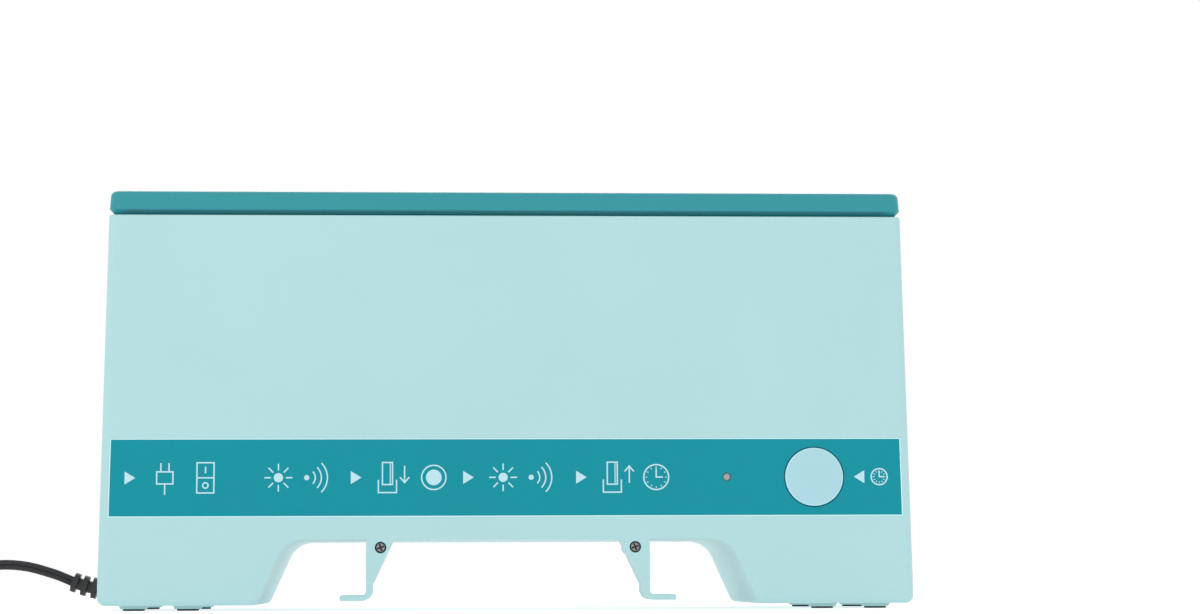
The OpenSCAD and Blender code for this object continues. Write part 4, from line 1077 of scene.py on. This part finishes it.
def film_lip():
    """A fine raised line round the printed film, wider below the film than above it, in a paler
    mint that is a painted highlight.
    """
    lower, upper = film_side(FILM_LOW), film_side(FILM_HIGH)
    below, above, beside = FILM_LOW - 0.3, FILM_HIGH + 0.25, 0.3
    made = [
        bar(-lower, below, lower, below, LIP_BELOW),
        bar(-upper, above, upper, above, LIP_ABOVE),
        bar(lower + beside, FILM_LOW, upper + beside, FILM_HIGH, LIP_BESIDE),
        bar(-lower - beside, FILM_LOW, -upper - beside, FILM_HIGH, LIP_BESIDE),
    ]
    raised = join("film_lip", made)
    with Bench(raised) as bench:
        bench.all()
        bench.extrude(0, 0, LIP_H * MM)
        bench.faces(lambda middle, normal: normal.z > 0.9 and middle.z > 0.1 * MM)
        bpy.ops.mesh.inset(thickness=LIP_SLOPE * MM, use_individual=True)
        bpy.ops.transform.translate(value=(0, 0, LIP_CROWN * MM))
    return place(raised, face)


lip = film_lip()
smooth(lip, 20)
# the lip's paler mint is a painted highlight along the film's edge
dress(lip, "case", "mint_plastic", highlight_mint)
strip = printed_film()
smooth(strip, 30)
dress(strip, "case", "label_film", film, "label_strip")
dress(panel_print(), "case", "button_plastic", ink)


# Power switch

ROCKER_SUNK = -0.0045
ROCKER_TILT = 9
ROCKER_HALF, ROCKER_DISH, ROCKER_FACE = 8.1, 1.6, 3.81

moulding("switch_frame", "switch_bezel", "case", "dark_plastic", charcoal, 0.35, 3)
moulding("rocker", "rocker_paddle", "rocker", "rocker_plastic", black, 0.45, 3)
rocker_seat = Matrix.Translation((ROCKER_SUNK, SWITCH_Y, SWITCH_Z))
rocker_frame = side_wall @ rocker_seat @ Matrix.Rotation(math.radians(ROCKER_TILT), 4, "Y")


def rocker_marks():
    """A line and a ring inlaid in the two halves of the rocker's face."""
    made = []
    slope = math.atan2(ROCKER_DISH, ROCKER_HALF)
    upright = Matrix.Rotation(math.radians(90), 4, "Y")
    for half, mark in ((1, bar(-1.8, 0, 1.8, 0, 0.6)), (-1, ring(0, 0, 1.9, 0.6))):
        modify(mark, "SOLIDIFY", thickness=0.08 * MM, offset=0)
        lean = Matrix.Rotation(half * slope, 4, "Y")
        middle = Matrix.Translation((ROCKER_FACE * MM, 0, half * ROCKER_HALF / 2 * MM))
        made.append(place(mark, middle @ lean @ upright))
    return place(join("rocker_marks", made), rocker_frame)


dress(rocker_marks(), "rocker", "button_plastic", ink)


# Slots, and what is inside

moulding("heating_well", "heating_well_sheet", "case", "zinc_steel", zinc, 0.25)
moulding("heater_plate", "heater_bar", "case", "plate_aluminium", aluminium, 0.25)
moulding("cooling_tray", "cooling_moulding", "case", "tray_plastic", pale_tray, 0.4)

inside = {
    "hinge_pins": zinc, "switch_plunger": black, "tact_switch": black, "board_screws": zinc,
    "buzzer": black, "heater_tray": zinc, "tray_rivets": aluminium, "fuse_clip": zinc,
    "switch_terminals": brass,
    "control_board": moulded("board laminate", tone(47, 111, 79), 0.3),
    "relay": moulded("blue relay case", tone(43, 77, 140), 0.4),
    "capacitor": moulded("ochre dip coat", tone(201, 161, 58), 0.35),
    "terminal_block": moulded("green terminal block", tone(79, 143, 90), 0.4),
    "heating_elements": moulded("mica strip", tone(141, 123, 82), 0.6),
    "insulation_board": moulded("pressed board", tone(217, 212, 200), 0.8),
    "thermostat": moulded("glazed ceramic", tone(222, 216, 204), 0.3),
    "thermal_fuse": moulded("pale ceramic", tone(227, 223, 210), 0.35),
    "mains_wires": soft_rubber("brown sleeving", tone(122, 74, 46), 0.55),
    "switch_wire": soft_rubber("blue sleeving", tone(63, 95, 156), 0.55),
    "heater_wires": soft_rubber("woven sleeving", tone(201, 194, 176), 0.7),
}
for node, finish in inside.items():
    nodes[node].data.materials.clear()
    nodes[node].data.materials.append(finish.material)


# Stage and light

FLOOR_W = 30
FLOOR_GLOW = 0.6
WHITE = (1, 1, 1, 1)
AIM = (0, 0, 0.1)

bpy.ops.object.select_all(action="DESELECT")
bpy.ops.mesh.primitive_plane_add(size=FLOOR_W, location=(0, 0, 0))
floor = bpy.context.object
floor.name = "floor"
paper = Finish("lit pale floor", 0.9, {"Emission Color": WHITE, "Emission Strength": FLOOR_GLOW})
paper.colour(paper.noise(3, 2), tone(188, 188, 187), tone(192, 192, 192))
floor.data.materials.append(paper.material)

world = bpy.data.worlds.new("studio")
bpy.context.scene.world = world
world.use_nodes = True
world.node_tree.nodes["Background"].inputs["Color"].default_value = WHITE
world.node_tree.nodes["Background"].inputs["Strength"].default_value = 1.0


def lamp(name, location, size, power):
    """A soft square lamp that faces the machine."""
    light = bpy.data.lights.new(name, "AREA")
    light.size = size
    light.energy = power
    made = bpy.data.objects.new(name, light)
    bpy.context.scene.collection.objects.link(made)
    made.location = location
    aim = Vector(AIM) - Vector(location)
    made.rotation_euler = aim.to_track_quat("-Z", "Y").to_euler()


lamp("key", location=(-1.4, -1.9, 1.7), size=1.4, power=8)
lamp("rim", location=(0.2, 1.6, 1.4), size=1.2, power=8)

scene = bpy.context.scene
scene.view_settings.view_transform = "Standard"
scene.view_settings.look = "None"
